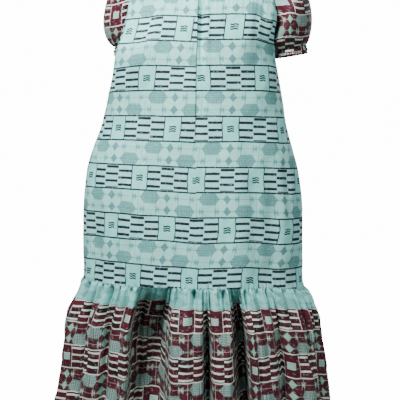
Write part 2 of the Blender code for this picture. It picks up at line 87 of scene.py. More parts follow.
# Armholes: upright ovals that hang from the shoulder seam's outer end
UNDERARM_Z = -0.252
ARMHOLE_HALF_HEIGHT = (-SHOULDER_DROP - UNDERARM_Z) / 2
ARMHOLE_MIDDLE_Z = (-SHOULDER_DROP + UNDERARM_Z) / 2
ARMHOLE_HALF_DEPTH = 0.072
UNDERARM_ROUNDNESS = 0.66  # 0.5 would be a plain oval, and more is more pointed
UNDERARM_SOFTNESS = 0.24  # the height over which the panels' square sides round off below it
ARMHOLE_BLEND_TURN = 40  # degrees from the armhole over which the shoulder takes its edge's shape
SIDE_EDGE_SHARPNESS = 6  # higher keeps the armhole's own shape closer to the side seam

# The tier seam, which dips at the wearer's left side and is higher on the right, and the hem
TIER_Z = -0.986
TIER_LEFT_DIP = 0.024
TIER_DIP_TURN = 60  # degrees from the left side over which the dip lies
TIER_RIGHT_RISE = 0.009
HEM_Z = -1.365

# The pleat at the centre front: its right side laps over its left side
PLEAT_TOP_X = 0.001
PLEAT_END_X = -0.009
PLEAT_LAP = 0.018
PLEAT_LAP_END_Z = -0.500
PLEAT_END_Z = -0.600
PLEAT_EDGE = 0.002
PLEAT_HEIGHT = 0.0048
PLEAT_EASE = 0.060  # the width over which the lapping side comes up to the pleat
# Round the pleat's fold and back underneath: shares of the lap, of PLEAT_EDGE and of PLEAT_HEIGHT
PleatStep = namedtuple("PleatStep", "lap edge height")
PLEAT_STEPS = (
    PleatStep(0.0, -1.0, 1.0),
    PleatStep(0.0, -0.4, 0.96),
    PleatStep(0.0, 0.0, 0.76),
    PleatStep(0.0, 0.05, 0.52),
    PleatStep(0.0, -0.3, 0.30),
    PleatStep(0.0, -1.0, 0.20),
    PleatStep(-0.35, -1.0, 0.18),
    PleatStep(-0.7, -1.0, 0.17),
    PleatStep(-1.0, -1.0, 0.16),
    PleatStep(-1.0, -1.3, 0.11),
    PleatStep(-1.0, -1.3, 0.04),
    PleatStep(-1.0, -1.0, 0.0),
)

# On the right the front panel rolls round in front of the arm, which is held back: its side edge
# and the back panel's are tucked in behind the roll.
Section = namedtuple(
    "Section",
    "z right_half left_half front_depth back_depth right_tuck right_side_y",
    defaults=(0.0, 0.0),
)
SECTIONS = (
    Section(-0.046, 0.186, 0.204, 0.080, 0.070),
    Section(-0.140, 0.193, 0.218, 0.112, 0.108, 0.001, 0.000),
    Section(-0.205, 0.208, 0.229, 0.138, 0.122, 0.009, -0.004),
    Section(-0.252, 0.218, 0.227, 0.152, 0.128, 0.044, -0.016),
    Section(-0.305, 0.236, 0.226, 0.160, 0.132, 0.080, -0.032),
    Section(-0.360, 0.247, 0.238, 0.164, 0.136, 0.075, -0.032),
    Section(-0.445, 0.269, 0.253, 0.169, 0.143, 0.040, -0.012),
    Section(-0.520, 0.289, 0.265, 0.174, 0.151, 0.012, -0.003),
    Section(-0.594, 0.317, 0.285, 0.180, 0.160),
    Section(-0.650, 0.331, 0.300, 0.184, 0.168),
    Section(-0.744, 0.344, 0.313, 0.190, 0.178),
    Section(-0.896, 0.346, 0.316, 0.197, 0.190),
    Section(-0.990, 0.348, 0.317, 0.200, 0.196),
    Section(-1.036, 0.367, 0.339, 0.212, 0.208),
    Section(-1.086, 0.390, 0.357, 0.226, 0.222),
    Section(-1.135, 0.402, 0.370, 0.236, 0.232),
    Section(-1.234, 0.412, 0.388, 0.248, 0.244),
    Section(-1.365, 0.434, 0.406, 0.262, 0.258),
)
MOST_TUCK = max(section.right_tuck for section in SECTIONS)
ROLL_DEPTH = 0.056
ROLL_TURN = 22  # degrees of the front panel's turn that lie in the roll where it is fullest
ROLL_ARC = 50

# A fold rises from nothing at its top, is deepest at its crest and is gone at its end. It stands
# out where its depth is above zero and sinks in where it is below.
Fold = namedtuple("Fold", "name top_turn end_turn half_width depth top_z crest_z end_z")
FOLDS = (
    Fold("right armhole crease", -46, -52, 13, -0.007, -0.13, -0.20, -0.36),
    Fold("right chest roll", -30, -28, 14, 0.004, -0.14, -0.22, -0.42),
    Fold("left armhole crease", 58, 56, 12, -0.007, -0.13, -0.20, -0.34),
    Fold("left chest roll", 38, 36, 14, 0.004, -0.14, -0.24, -0.42),
    Fold("right front trough", -14, -10, 13, -0.010, -0.50, -0.90, -1.20),
    Fold("right front roll", -34, -33, 14, 0.008, -0.46, -0.86, -1.15),
    Fold("right side trough", -62, -60, 11, -0.009, -0.52, -0.88, -1.15),
    Fold("left front roll", 20, 23, 12, 0.009, -0.42, -0.88, -1.15),
    Fold("left front trough", 44, 43, 10, -0.008, -0.48, -0.82, -1.10),
    Fold("left side pull", 74, 68, 9, -0.008, -0.62, -0.74, -0.90),
    Fold("left back trough", 122, 120, 14, -0.011, -0.34, -0.86, -1.15),
    Fold("left back roll", 148, 150, 15, 0.010, -0.38, -0.88, -1.15),
    Fold("centre back trough", 176, 178, 14, -0.012, -0.30, -0.84, -1.15),
    Fold("right back roll", 206, 208, 14, 0.010, -0.36, -0.88, -1.15),
    Fold("right back trough", 236, 238, 14, -0.010, -0.42, -0.86, -1.15),
    Fold("tier right side trough", -60, -64, 9, -0.020, -0.98, -1.28, -1.70),
    Fold("tier right side roll", -74, -76, 8, 0.010, -1.00, -1.30, -1.70),
    Fold("tier right front trough", -39, -40, 7, -0.020, -0.98, -1.22, -1.70),
    Fold("tier right front roll", -28, -30, 8, 0.014, -1.00, -1.30, -1.70),
    Fold("tier deep front trough", -15, -19, 9, -0.058, -0.97, -1.22, -1.75),
    Fold("tier middle roll", -5, -6, 7, 0.014, -1.00, -1.28, -1.70),
    Fold("tier middle trough", 3, 3, 6, -0.020, -0.99, -1.26, -1.70),
    Fold("tier left middle roll", 10, 10, 6, 0.013, -1.00, -1.28, -1.70),
    Fold("tier deep left trough", 19, 19.5, 7, -0.052, -0.97, -1.20, -1.75),
    Fold("tier left front roll", 29, 29, 8, 0.015, -1.00, -1.28, -1.70),
    Fold("tier left front trough", 40, 40, 7, -0.022, -0.98, -1.24, -1.70),
    Fold("tier left side roll", 55, 56, 9, 0.010, -1.00, -1.30, -1.70),
    Fold("tier left side trough", 70, 72, 9, -0.016, -1.00, -1.30, -1.70),
    Fold("tier back trough 1", 106, 106, 9, -0.020, -0.98, -1.26, -1.70),
    Fold("tier back roll 1", 120, 121, 9, 0.012, -1.00, -1.30, -1.70),
    Fold("tier back trough 2", 136, 136, 8, -0.024, -0.98, -1.28, -1.70),
    Fold("tier back roll 2", 149, 150, 8, 0.010, -1.00, -1.30, -1.70),
    Fold("tier back trough 3", 163, 162, 8, -0.018, -0.98, -1.22, -1.70),
    Fold("tier back roll 3", 177, 177, 9, 0.013, -1.00, -1.30, -1.70),
    Fold("tier back trough 4", 192, 193, 8, -0.026, -0.98, -1.27, -1.70),
    Fold("tier back roll 4", 206, 206, 9, 0.011, -1.00, -1.30, -1.70),
    Fold("tier back trough 5", 221, 220, 8, -0.019, -0.98, -1.25, -1.70),
    Fold("tier back roll 5", 235, 236, 8, 0.012, -1.00, -1.30, -1.70),
    Fold("tier back trough 6", 249, 249, 9, -0.020, -0.98, -1.28, -1.70),
)

Sleeve = namedtuple(
    "Sleeve",
    "side cuff_x cuff_y cuff_z cuff_tilt cuff_half_width cuff_half_depth"
    " top_out under_out front_out back_out top_rise low_puff top_fall under_fall",
)
SLEEVES = {
    "left": Sleeve(1, 0.2748, 0.006, -0.290, 0.008, 0.0475, 0.052,
                   0.112, 0.014, 0.030, 0.026, 0.022, 0.045, 0.080, 0.026),
    "right": Sleeve(-1, -0.2095, 0.036, -0.291, 0.004, 0.040, 0.046,
                    0.056, 0.010, -0.024, 0.030, 0.018, 0.084, 0.046, 0.026),
}
ARMHOLE_EASE = 0.0012  # the sleeve's seam edge lies this far inside the armhole
BODY_SIDE_PUFF = 0.028  # how far a sleeve puffs towards the body
CUFF_HEIGHT = 0.023
CUFF_FLARE = 0.0015

# Creases that are too fine for the solids: soft pulls in the body, at their place round the dress
CREASES = (
    Fold("right yoke pull 1", -43, -40, 5, -0.0030, -0.150, -0.200, -0.310),
    Fold("right yoke pull 2", -26, -24, 5, -0.0022, -0.142, -0.165, -0.260),
    Fold("right yoke pull 3", -12, -10, 4, -0.0018, -0.142, -0.170, -0.300),
    Fold("hollow beside the pleat", 3.0, 2.4, 3.2, -0.0180, -0.141, -0.180, -0.420),
    Fold("roll beside the pleat", 6.9, 6.4, 3.4, 0.0050, -0.141, -0.185, -0.420),
    Fold("left yoke pull 1", 22, 21, 5, -0.0020, -0.142, -0.170, -0.280),
    Fold("left yoke pull 2", 49, 45, 6, -0.0034, -0.150, -0.205, -0.330),
    Fold("right soft fall", -24, -20, 8, -0.0030, -0.420, -0.640, -0.900),
    Fold("left soft fall", 33, 31, 8, -0.0028, -0.460, -0.700, -0.950),
    Fold("left hip pull", 60, 58, 6, -0.0036, -0.560, -0.720, -0.860),
    Fold("right hip pull", -48, -45, 6, -0.0030, -0.580, -0.760, -0.900),
    Fold("back fall 1", 135, 136, 8, -0.0030, -0.300, -0.620, -0.930),
    Fold("back fall 2", 163, 162, 7, 0.0030, -0.260, -0.560, -0.900),
    Fold("back fall 3", 194, 195, 8, -0.0032, -0.280, -0.640, -0.940),
    Fold("back fall 4", 224, 223, 8, -0.0028, -0.320, -0.600, -0.900),
)

# Creases that sharpen the tier's troughs: steep walls, flat floors and the edges of the rolls
# beside them
TIER_CREASES = (
    Fold("right side trough floor", -57, -58, 3, -0.018, -1.00, -1.20, -1.85),
    Fold("right front trough floor", -41.5, -42, 2.8, -0.024, -0.99, -1.16, -1.85),
    Fold("right front roll edge", -37.5, -38, 2.6, 0.007, -0.99, -1.18, -1.85),
    Fold("deep front trough floor 1", -27.2, -27.6, 2.8, -0.130, -0.96, -1.08, -1.85),
    Fold("deep front trough floor 2", -24.4, -24.8, 2.8, -0.150, -0.96, -1.08, -1.85),
    Fold("deep front trough floor 3", -21.6, -22.0, 2.8, -0.128, -0.96, -1.08, -1.85),
    Fold("deep front trough floor 4", -18.8, -19.2, 2.8, -0.106, -0.96, -1.08, -1.85),
    Fold("deep front trough floor 5", -16.0, -16.4, 2.8, -0.096, -0.96, -1.08, -1.85),
    Fold("deep front trough floor 6", -13.6, -14.0, 2.4, -0.070, -0.96, -1.08, -1.85),
    Fold("deep front trough roll edge", -9.8, -10.6, 3.2, 0.020, -1.00, -1.18, -1.85),
    Fold("middle trough floor", 4.0, 4.0, 2.4, -0.064, -1.00, -1.16, -1.85),
    Fold("middle roll edge", 0.8, 0.8, 2.6, 0.006, -1.00, -1.18, -1.85),
    Fold("left middle roll edge", 13.4, 13.6, 2.8, 0.011, -1.00, -1.16, -1.85),
    Fold("deep left trough floor 1", 17.6, 17.4, 2.4, -0.072, -0.96, -1.08, -1.85),
    Fold("deep left trough floor 2", 20.0, 19.6, 2.4, -0.084, -0.96, -1.08, -1.85),
    Fold("deep left trough roll edge", 24.4, 24.6, 2.6, 0.030, -1.00, -1.12, -1.85),
    Fold("left front trough floor", 40, 40, 2.8, -0.024, -1.00, -1.18, -1.85),
    Fold("left front roll edge", 36, 36, 2.6, 0.006, -1.00, -1.18, -1.85),
    Fold("left side trough floor", 69, 70, 3.4, -0.016, -1.00, -1.22, -1.85),
    Fold("back trough floor 1", 107, 107, 3.4, -0.016, -1.00, -1.22, -1.85),
    Fold("back trough floor 2", 135, 135, 3.2, -0.026, -0.99, -1.18, -1.85),
    Fold("back trough floor 3", 163, 162, 3.0, -0.018, -1.00, -1.20, -1.85),
    Fold("back trough floor 4", 191, 192, 3.4, -0.028, -0.99, -1.16, -1.85),
    Fold("back trough floor 5", 221, 220, 3.0, -0.018, -1.00, -1.20, -1.85),
    Fold("back trough floor 6", 249, 249, 3.4, -0.018, -1.00, -1.22, -1.85),
)
TIER_FOLDS = FOLDS + TIER_CREASES

# Gathers: how far each stands out, its width on the flat cloth, where it stands out most below its
# seam, where it is gone, and the share of it that is left there
Gathers = namedtuple("Gathers", "height pitch crest_below gone_below left_over")
YOKE_GATHERS = Gathers(0.0020, 0.0130, 0.012, 0.085, 0.0)
TIER_GATHERS = Gathers(0.0200, 0.0480, 0.012, 0.260, 0.22)
TIER_FINE_GATHERS = Gathers(0.0085, 0.0195, 0.006, 0.080, 0.05)
SHIRRING = Gathers(0.0022, 0.0150, 0.003, 0.040, 0.0)  # above the tier seam, on the body
HEAD_GATHERS = Gathers(0.0034, 0.0200, 0.018, 0.110, 0.0)
CUFF_GATHERS = Gathers(0.0036, 0.0185, 0.012, 0.110, 0.1)
CUFF_FINE_GATHERS = Gathers(0.0010, 0.0082, 0.003, 0.030, 0.0)
GATHER_ROUNDNESS = 0.07  # how round the bottom of the hollow between two gathers is
GATHER_SPAN = 1.7  # from a hollow's bottom to a gather's top, in shares of the gathers' height,
GATHER_SINK = 1.1  # and how far the bottom lies behind the plain cloth
GATHER_LEAN = 0.35  # how far gathers lean from side to side on their way down,
GATHER_LEAN_DOWN = 3  # and how fast that changes down them
GATHER_LEAN_PACE = 0.3  # and across them
SHIRRING_OFFSET = 0.004  # how far the finer gathers are moved along the cloth
FINE_GATHER_OFFSET = 0.003
SEAM_PUCKERS = 185  # round the whole tier seam
SEAM_PUCKER_HEIGHT = 0.0080
SEAM_PUCKER_SPAN = 1.2
SEAM_PUCKER_SINK = 0.9
SEAM_PUCKER_REACH = 0.0085  # from the seam to where the puckers have sunk to about a third
SEAM_CALM_TURN = 2.0  # degrees from a side seam over which they fade
TIER_TUCK = 0.0040  # how far the print is drawn into the tier's hollows

# Slow waves that make gathers and puckers uneven, along the turns of their own wave
Wave = namedtuple("Wave", "height pace start", defaults=(0.0,))
GATHER_WANDER = (Wave(0.9, 0.23, 0.5), Wave(0.7, 0.119, 1.9))
GATHER_LENGTH = 0.75
GATHER_LENGTHS = (Wave(0.28, 0.41, 1.1), Wave(0.2, 0.173))
GATHER_EVEN = 0.78
GATHER_HEIGHTS = (Wave(0.26, 0.61, 2.0), Wave(0.24, 0.271))
PUCKER_EVEN = 0.8
PUCKER_HEIGHTS = (Wave(0.3, 0.371, 1), Wave(0.25, 0.173))
PUCKER_WANDER = (Wave(1.2, 0.131), Wave(0.7, 0.53))

# The unevenness of worn cotton: ripples at a slant on the flat cloth, themselves bent by two more
Ripple = namedtuple("Ripple", "height across down start")
CRUMPLE_BENDS = (Ripple(1.6, 9, 4, 0), Ripple(1.3, -5, 7, 2))
CRUMPLE_RIPPLES = (
    Ripple(1.00, 23, 15, 0.4),
    Ripple(0.80, -31, 27, 2.1),
    Ripple(0.55, 52, -38, 4.0),
    Ripple(0.40, 71, 66, 1.2),
    Ripple(0.28, -117, 83, 5.2),
    Ripple(0.20, 149, 131, 3.3),
)
TIER_CRUMPLE = 1.8  # how much more the tier is crumpled than the rest

# The print's own sizes on the flat cloth
REPEAT = 0.175
BAND = 0.072
FIRST_LINE_Z = -0.202

# How the print drifts sideways down the body as the cloth hangs: metres at each height
Drift = namedtuple("Drift", "z sideways")
DRIFTS = (
    Drift(-0.140, 0.008),
    Drift(-0.240, 0.000),
    Drift(-0.385, -0.018),
    Drift(-0.530, -0.034),
    Drift(-0.670, -0.046),
    Drift(-0.815, -0.050),
    Drift(-0.950, -0.062),
)

CLOTH_MAP = "cloth"
CELL_OFFSET = 0.040  # from the pleat's edge to the nearest cell of the first line
YOKE_CLOTH_OFFSET = 0.031
BACK_CLOTH_OFFSET = 0.052
FOLD_CALM = 0.06  # the share of a side of the front over which fine gathers fade beside the pleat
EDGE_CALM_TURN = 6  # degrees from a side seam over which the cloth lies calmer
YOKE_CALM = 0.1  # the share of the yoke's height over which it lies calmer at its top and its foot
SHOULDER_CALM = 0.15  # the same for the back's shoulders, at their top only
TIER_EDGE_CALM = 0.02  # metres of flat cloth from a side seam over which the tier's gathers fade

# The tier's print: the header above the border's first line, and each band's depth below that line
HEADER_DEPTH = 0.057
HEADER_STRETCH = 0.060  # the header's height that one band of the print fills
TIER_PULL = 0.8611  # the share of the tier's width left once its finest gathers are drawn up
TROUGH_SQUARE = 0.9  # how far the troughs run straight back, where 0 is towards the dress's middle
VALLEY_RISE = 0.18  # how far a valley draws the print up for each metre of its depth
LINE_DEPTHS = (0, 0.064, 0.132, 0.2015, 0.272, 0.343, 0.414)
BODY_ROW_SPACING = 1.3
TIER_ROW_SPACING = 1.25  # above 1 the rows lie closer together near the seam
HEM_ROLL = 0.0011
HEM_WIDTH = 0.018
HEM_PARTS = (0.3, 0.65, 1.0)  # the shares of its width at which the turned-up hem has its rows
HEM_ROLL_STEPS = 4

SLEEVE_BAND_SHARE = 1.1  # how much of the print lies on each metre of a sleeve's length
CUFF_PUCKER = 0.0125  # metres of flat cloth for each pucker
CUFF_PUCKER_HEIGHT = 0.0028
CUFF_PUFF = 0.0020
CUFF_STITCH = 0.005  # from each edge of the cuff to its stitching
CUFF_PUFF_WIDTH = 0.006  # how far from the stitching the cuff has its full puff, and its puckers
CUFF_PUCKER_WIDTH = 0.008
CUFF_PUCKER_AT_STITCH = 0.55  # the share of the puckers' height that the stitching leaves
CUFF_PUCKER_WANDER = 0.8
CUFF_WANDER_WAVES = 5  # round the cuff
CUFF_PUCKER_HEIGHTS = (Wave(0.3, 0.25),)
SLEEVE_SEAM_CALM = 0.02  # the share of the way round a sleeve over which gathers fade at its seam
SLEEVE_HEAD_CALM = 0.05  # and the share of its length over which they start below the armhole
HEAD_GATHER_RISE = 0.3  # how far up the armhole its gathers come up, first quickly, then slowly
HEAD_GATHER_FADE = 1 / 1.4

# A sleeve's print hangs level beside the body and follows the cloth on the outer side: where round
# the sleeve it starts to go over, as a cosine, and how much further on it has gone over
SLEEVE_OUTER_START = -0.2
SLEEVE_OUTER_SPAN = 0.9

# Where the cuff's lower edge rolls in and runs up inside: how far in, in shares of a hem's roll,
# how far up and how far along the flat cloth
EdgeStep = namedtuple("EdgeStep", "into rise along")
CUFF_EDGE = (
    EdgeStep(0.4, -0.0008, 0.001),
    EdgeStep(1.0, -0.0004, 0.002),
    EdgeStep(1.3, 0.004, 0.006),
    EdgeStep(1.3, 0.012, 0.014),
)

# How many millimetres each line of the body's print lies above its level round the centre front, at
# the line's height and at the turns named here: the cloth hangs unevenly from its yoke.
SHIFT_TURNS = {
    "right_edge": -90, "right_side": -55, "right_outer": -38, "right": -29, "right_inner": -17,
    "pleat": -1, "lapped": 4, "left": 25, "left_outer": 47, "left_side": 62, "left_edge": 90,
}
LineShift = namedtuple("LineShift", ["z", *SHIFT_TURNS])
LINE_SHIFTS = (
    LineShift(-0.202, -13, -11, -6, -3, -5, -8, -2, 1, 1, -14, -22),
    LineShift(-0.274, -12, -11, -10, -3, -4, -8, -1, 0, 2, -6, -12),
    LineShift(-0.346, -12, -11, -5, -2, -3, -7, -2, -1, 0, 0, -9),
    LineShift(-0.418, -6, -3, -1, 0, -1, -2, -1, -1, 0, -3, -6),
    LineShift(-0.490, -1, 0, 0, 0, -2, -2, -1, -2, -4, -5, -7),
    LineShift(-0.562, 1, 3, 3, 1, 0, -3, -2, -1, -5, -8, -11),
    LineShift(-0.634, 5, 5, 4, 3, 1, -4, -2, -3, -7, -10, -13),
    LineShift(-0.706, 6, 8, 8, 6, 2, -3, -1, -2, -8, -13, -16),
    LineShift(-0.778, 8, 8, 9, 5, 3, -2, -1, -1, -11, -14, -17),
    LineShift(-0.850, 6, 9, 9, 8, 6, -2, -2, 2, -12, -15, -18),
    LineShift(-0.922, 10, 11, 12, 9, 3, 0, -2, 1, -13, -16, -18),
)

# How many millimetres the body's print lies nearer the right side than on plainly hung cloth
CELL_SHIFT_TURNS = {
    "right_edge": -90, "right_side": -60, "right": -33, "front": -8, "left": 24, "left_side": 54,
    "left_edge": 90,
}
CellShift = namedtuple("CellShift", ["z", *CELL_SHIFT_TURNS])
CELL_SHIFTS = (
    CellShift(-0.238, 24, 19, 10, 4, 13, 26, 34),
    CellShift(-0.377, 16, 12, 7, 5, 14, 25, 34),
    CellShift(-0.525, 18, 15, 13, 10, 7, 16, 26),
    CellShift(-0.668, 2, 6, 18, 4, 4, 9, 20),
    CellShift(-0.822, 8, 10, 13, 11, 9, 36, 44),
    CellShift(-0.942, 16, 13, 11, 0, -1, 20, 40),
)

# The print's chart, in steps of 1/62 of a repeat across and 1/25.4 of a band down
CHART_WIDTH = 62.0
CHART_HEIGHT = 25.4
CELL_HALF_WIDTH = 8.75
BAR_COLUMN = 14.83
BAR_HALF_LENGTH = 7.15
BAR_PITCH = 7.4
BAR_TOP = 0.6
BAR_BOTTOM = 24.4
GLYPH_ROW = 0.5  # rows of a band, as shares of its height
UPPER_ROW = 0.27
LOWER_ROW = 0.75
GLYPH_HALF = (3.7, 3.3)  # half of a shape's width and height
PATCH_HALF = (4.1, 3.9)
HEXAGON_HALF = (10.8, 6.0)
DIAMOND_HALF = (3.9, 4.8)
SQUARE_HALF = (5.6, 5.3)
HEXAGON_POINT = 0.75
STROKE_PITCH = 2.3
STROKE_HALF_WIDTH = 0.80
STROKE_WAVE = Wave(0.5, 1.1, 0.6)
SHAPE_STEP = 18.2  # how far shapes stand from the middle of their repeat
DISCS = ((-6.0, 5.5), (6.0, 5.5), (CHART_WIDTH / 2, 5.2))  # each one's place and radius
BOW_STEPS = (10.6, 26.2)
BOW_HALF_WIDTH = 2.2
BOW_SPREAD = 1.3
BOW_WAIST = 0.7
RUNG_STEP = 11.5
NET_HALF_WIDTH = 0.22
DOT_PITCH = 1.9
INK_EDGE = 0.14

# The cloth and its ink, in metres on the flat cloth or as shares
INK_WANDER = 0.0012
BORDER_EDGE = 0.0003
THREAD = 0.0011
WEAVE_STRENGTH = 0.25
WEAVE_HEIGHT = 0.0003
HEADER_FADE_TO_PAINTED_SHADE = 0.55  # how far the print fades above the border, into a darker mint that is painted shade of the header's gathers
VEIN_SHARE = 0.17
BLOTCH_SHARE = 0.24
SWAY_SCALE = 60.0  # scales of noise on the cloth: higher is finer
VEIN_SCALE = 26.0
PATCHY_SCALE = 9.0
BLOTCH_SCALE = 120.0
MINT_WASH_SCALE = 34.0
WINE_WASH_SCALE = 42.0
WINE_SHADE_SCALE = 16.0
SLUB_SCALE = 900.0
SLUB_STRETCH = 0.12  # how wide the slubs in the yarn are for their length
TWIST_PITCH = 9000
FUZZ_SCALE = 1500.0
FLOOR_GRAIN_SCALE = 40.0
THREAD_PAINTED_HIGHLIGHT = 2.4  # how much lighter the strands of a sewing thread are painted on top than between them: a painted highlight on their tops


def linear(red, green, blue):
    """A colour given in the usual 0 to 255 as the linear values that a shader takes."""
    levels = (red / 255, green / 255, blue / 255)
    curved = ((x / 12.92 if x <= 0.04045 else ((x + 0.055) / 1.055) ** 2.4) for x in levels)
    return (*curved, 1.0)


# Colours of the inks and grounds, given as red, green and blue out of 255
MINT = linear(132, 218, 210)
MINT_LIGHT = linear(148, 229, 221)
MINT_PALE = linear(196, 240, 232)
MINT_SHAPE_GROUND = linear(126, 202, 193)
MINT_GREY = linear(78, 122, 128)
MINT_LINE = linear(84, 146, 146)
LILAC = linear(176, 208, 219)
TEAL_INK = linear(12, 34, 40)
WINE = linear(60, 11, 26)
WINE_LIGHT = linear(80, 16, 34)
WINE_DARK = linear(14, 8, 12)
# The header's mint: the fainter print above the border, darkened as painted shade of the header's
# gathers
HEADER_MINT_PAINTED_SHADE = linear(110, 182, 178)
SHAPE_GROUND = linear(54, 48, 48)
SHAPE_GROUND_LIGHT = linear(84, 82, 78)
OFF_WHITE = linear(198, 212, 200)
PALE_GREEN = linear(128, 182, 164)
HEXAGON_GREY = linear(76, 104, 102)
HEXAGON_PALE = linear(148, 174, 166)
PATCH = linear(170, 204, 194)
PATCH_STROKES = linear(90, 142, 130)
VEIN = linear(60, 104, 108)
WINE_THREAD = linear(84, 20, 38)
FLOOR_COLOUR = linear(140, 140, 139)
FLOOR_GRAIN = linear(146, 146, 145)
BACKDROP_COLOUR = linear(252, 253, 255)
ROOM_COLOUR = (0.97, 0.985, 1.0, 1.0)

# How each sheet was cut, in metres: its width and length, and its area where it isn't a rectangle
YOKE_CUT = (0.44, 0.20)
YOKE_CUT_AREA = 0.055
FRONT_CUT = (0.90, 0.87)
FRONT_CUT_AREA = 0.66
BACK_CUT = (0.86, 1.06)
BACK_CUT_AREA = 0.74
TIER_CUT_LENGTH = 0.41
SLEEVE_CUT_LENGTHS = {"left": 0.25, "right": 0.23}
SLEEVE_CUT_SHARE = 0.8
CUFF_CUT_LENGTH = 0.040
BINDING_COLUMNS = 240
BINDING_ROWS = 8
BINDING_CROWN = 0.0012  # how far the strip swells out over its own width, and the share upwards
BINDING_CROWN_RISE = 0.6
BINDING_RIPPLE = 0.0003
BINDING_RIPPLE_LENGTH = 0.021
BINDING_SHELL = 0.0012
STITCH_LENGTH = 0.0030
STITCH_PITCH = 0.0040
STITCH_WIDTH = 0.0006
STITCH_RISE = 0.0010

# The studio
CAMERA_X = 0.006
CAMERA_Z = -0.47
AIM_Z = -0.744
FLOOR_Z = -1.42
FLOOR_RADIUS = 14.0
FLOOR_SIDES = 64
SENSOR_WIDTH = 36.0
Lamp = namedtuple("Lamp", "name power size place")  # power names one of the studio's settings
LAMPS = (
    Lamp("key light", "key_power", 0.55, (-0.72, -1.12, 0.95)),
    Lamp("fill light", "fill_power", 2.2, (1.9, -2.3, 0.1)),
    Lamp("back light", "back_power", 1.6, (1.1, 1.9, 0.8)),
)
LIGHT_AIM = Vector((0, 0, -0.5))

# How far each sleeve's print is moved round it, and up from its cuff
SleevePrint = namedtuple("SleevePrint", "around rise")
SLEEVE_PRINTS = {"left": SleevePrint(0.034, -0.034), "right": SleevePrint(0.085, -0.004)}


def smooth(share):
    """0 to 1 with a soft start and end, held outside that range."""
    share = np.clip(share, 0.0, 1.0)
    return share * share * (3 - 2 * share)


def mix(first, second, share):
    return first + (second - first) * share


def shares(count):
    """0 to 1 in so many steps."""
    return np.linspace(0, 1, count + 1)


def joined(*parts):
    """Points, or places on the flat cloth, from arrays of their coordinates."""
    return np.stack(np.broadcast_arrays(*parts), axis=-1)


def sine_cosine(turn):
    return np.sin(np.radians(turn)), np.cos(np.radians(turn))


def turn_from(centre, turn):
    """Degrees from a centre to a turn, the short way round."""
    return (turn - centre + 180) % 360 - 180


def column_of(table, name):
    return np.array([getattr(row, name) for row in table])


def section_value(column, z):
    """A column of SECTIONS at heights z, on a smooth curve through the rows."""
    level, value = column_of(SECTIONS, "z"), column_of(SECTIONS, column)
    row = np.arange(len(SECTIONS))
    before, after = np.maximum(row - 1, 0), np.minimum(row + 1, row[-1])
    slope = (value[after] - value[before]) / (level[after] - level[before])
    z = np.clip(z, level[-1], level[0])
    upper = np.clip(np.searchsorted(-level, -z, side="right") - 1, 0, len(SECTIONS) - 2)
    run = level[upper + 1] - level[upper]
    t = (z - level[upper]) / run
    return (
        (2 * t**3 - 3 * t**2 + 1) * value[upper]
        + (t**3 - 2 * t**2 + t) * run * slope[upper]
        + (3 * t**2 - 2 * t**3) * value[upper + 1]
        + (t**3 - t**2) * run * slope[upper + 1]
    )


def armhole_reach(z):
    """How far the armhole's edge lies before and behind the side seam at heights z."""
    height = (z - ARMHOLE_MIDDLE_Z) / ARMHOLE_HALF_HEIGHT
    roundness = np.where(height > 0, 0.5, UNDERARM_ROUNDNESS)
    return ARMHOLE_HALF_DEPTH * np.maximum(1 - height * height, 0.0) ** roundness


def side_reach(turn, z):
    """How square a panel is towards the side seam: the armhole's reach there, softer inwards."""
    soft = ARMHOLE_HALF_DEPTH * (1 - smooth((ARMHOLE_MIDDLE_Z - z) / UNDERARM_SOFTNESS))
    edge = np.where(z > UNDERARM_Z, armhole_reach(z), 0.0)
    return mix(soft, edge, (1 - np.abs(np.cos(np.radians(turn)))) ** SIDE_EDGE_SHARPNESS)


def fold_height(turn, z, folds):
    """How far a table of folds stands out of the plain section."""
    height = np.zeros(np.broadcast(turn, z).shape)
    for fold in folds:
        share = (fold.top_z - z) / (fold.top_z - fold.end_z)
        centre = mix(fold.top_turn, fold.end_turn, np.clip(share, 0, 1))
        across = turn_from(centre, turn) / fold.half_width
        rising = smooth((fold.top_z - z) / (fold.top_z - fold.crest_z))
        falling = smooth((z - fold.end_z) / (fold.crest_z - fold.end_z))
        strength = np.where(z > fold.crest_z, rising, falling)
        bump = (1 + np.cos(np.pi * np.clip(across, -1, 1))) / 2
        height += fold.depth * strength * bump
    return height


def right_tuck(z):
    return np.maximum(section_value("right_tuck", z), 0.0)


def rolled_front(turn, z, half, depth, reach):
    """The right half of the front panel at heights z, and which way it faces."""
    tuck = right_tuck(z)
    strength = tuck / MOST_TUCK
    roll = ROLL_DEPTH * strength
    roll_start = 90 - ROLL_TURN * strength
    side_y = section_value("right_side_y", z)
    angle = np.radians(90 * np.abs(turn) / roll_start)
    x = half * np.sin(angle)
    y = -(depth - reach - roll) * np.cos(angle) - reach - roll + side_y * np.sin(angle) ** 2
    share = (np.abs(turn) - roll_start) / np.maximum(90 - roll_start, NO_WIDTH)
    arc, whole = np.radians(ROLL_ARC * share), math.radians(ROLL_ARC)
    arc_x = -half + tuck * (1 - np.cos(arc)) / (1 - math.cos(whole))
    arc_y = side_y - reach - roll * (1 - np.sin(arc) / math.sin(whole))
    plain = np.abs(turn) < roll_start
    return (
        np.where(plain, -x, arc_x),
        np.where(plain, y, arc_y),
        np.where(plain, -np.sin(angle) / half, -np.cos(arc)),
        np.where(plain, -np.cos(angle) / depth, np.sin(arc)),
    )


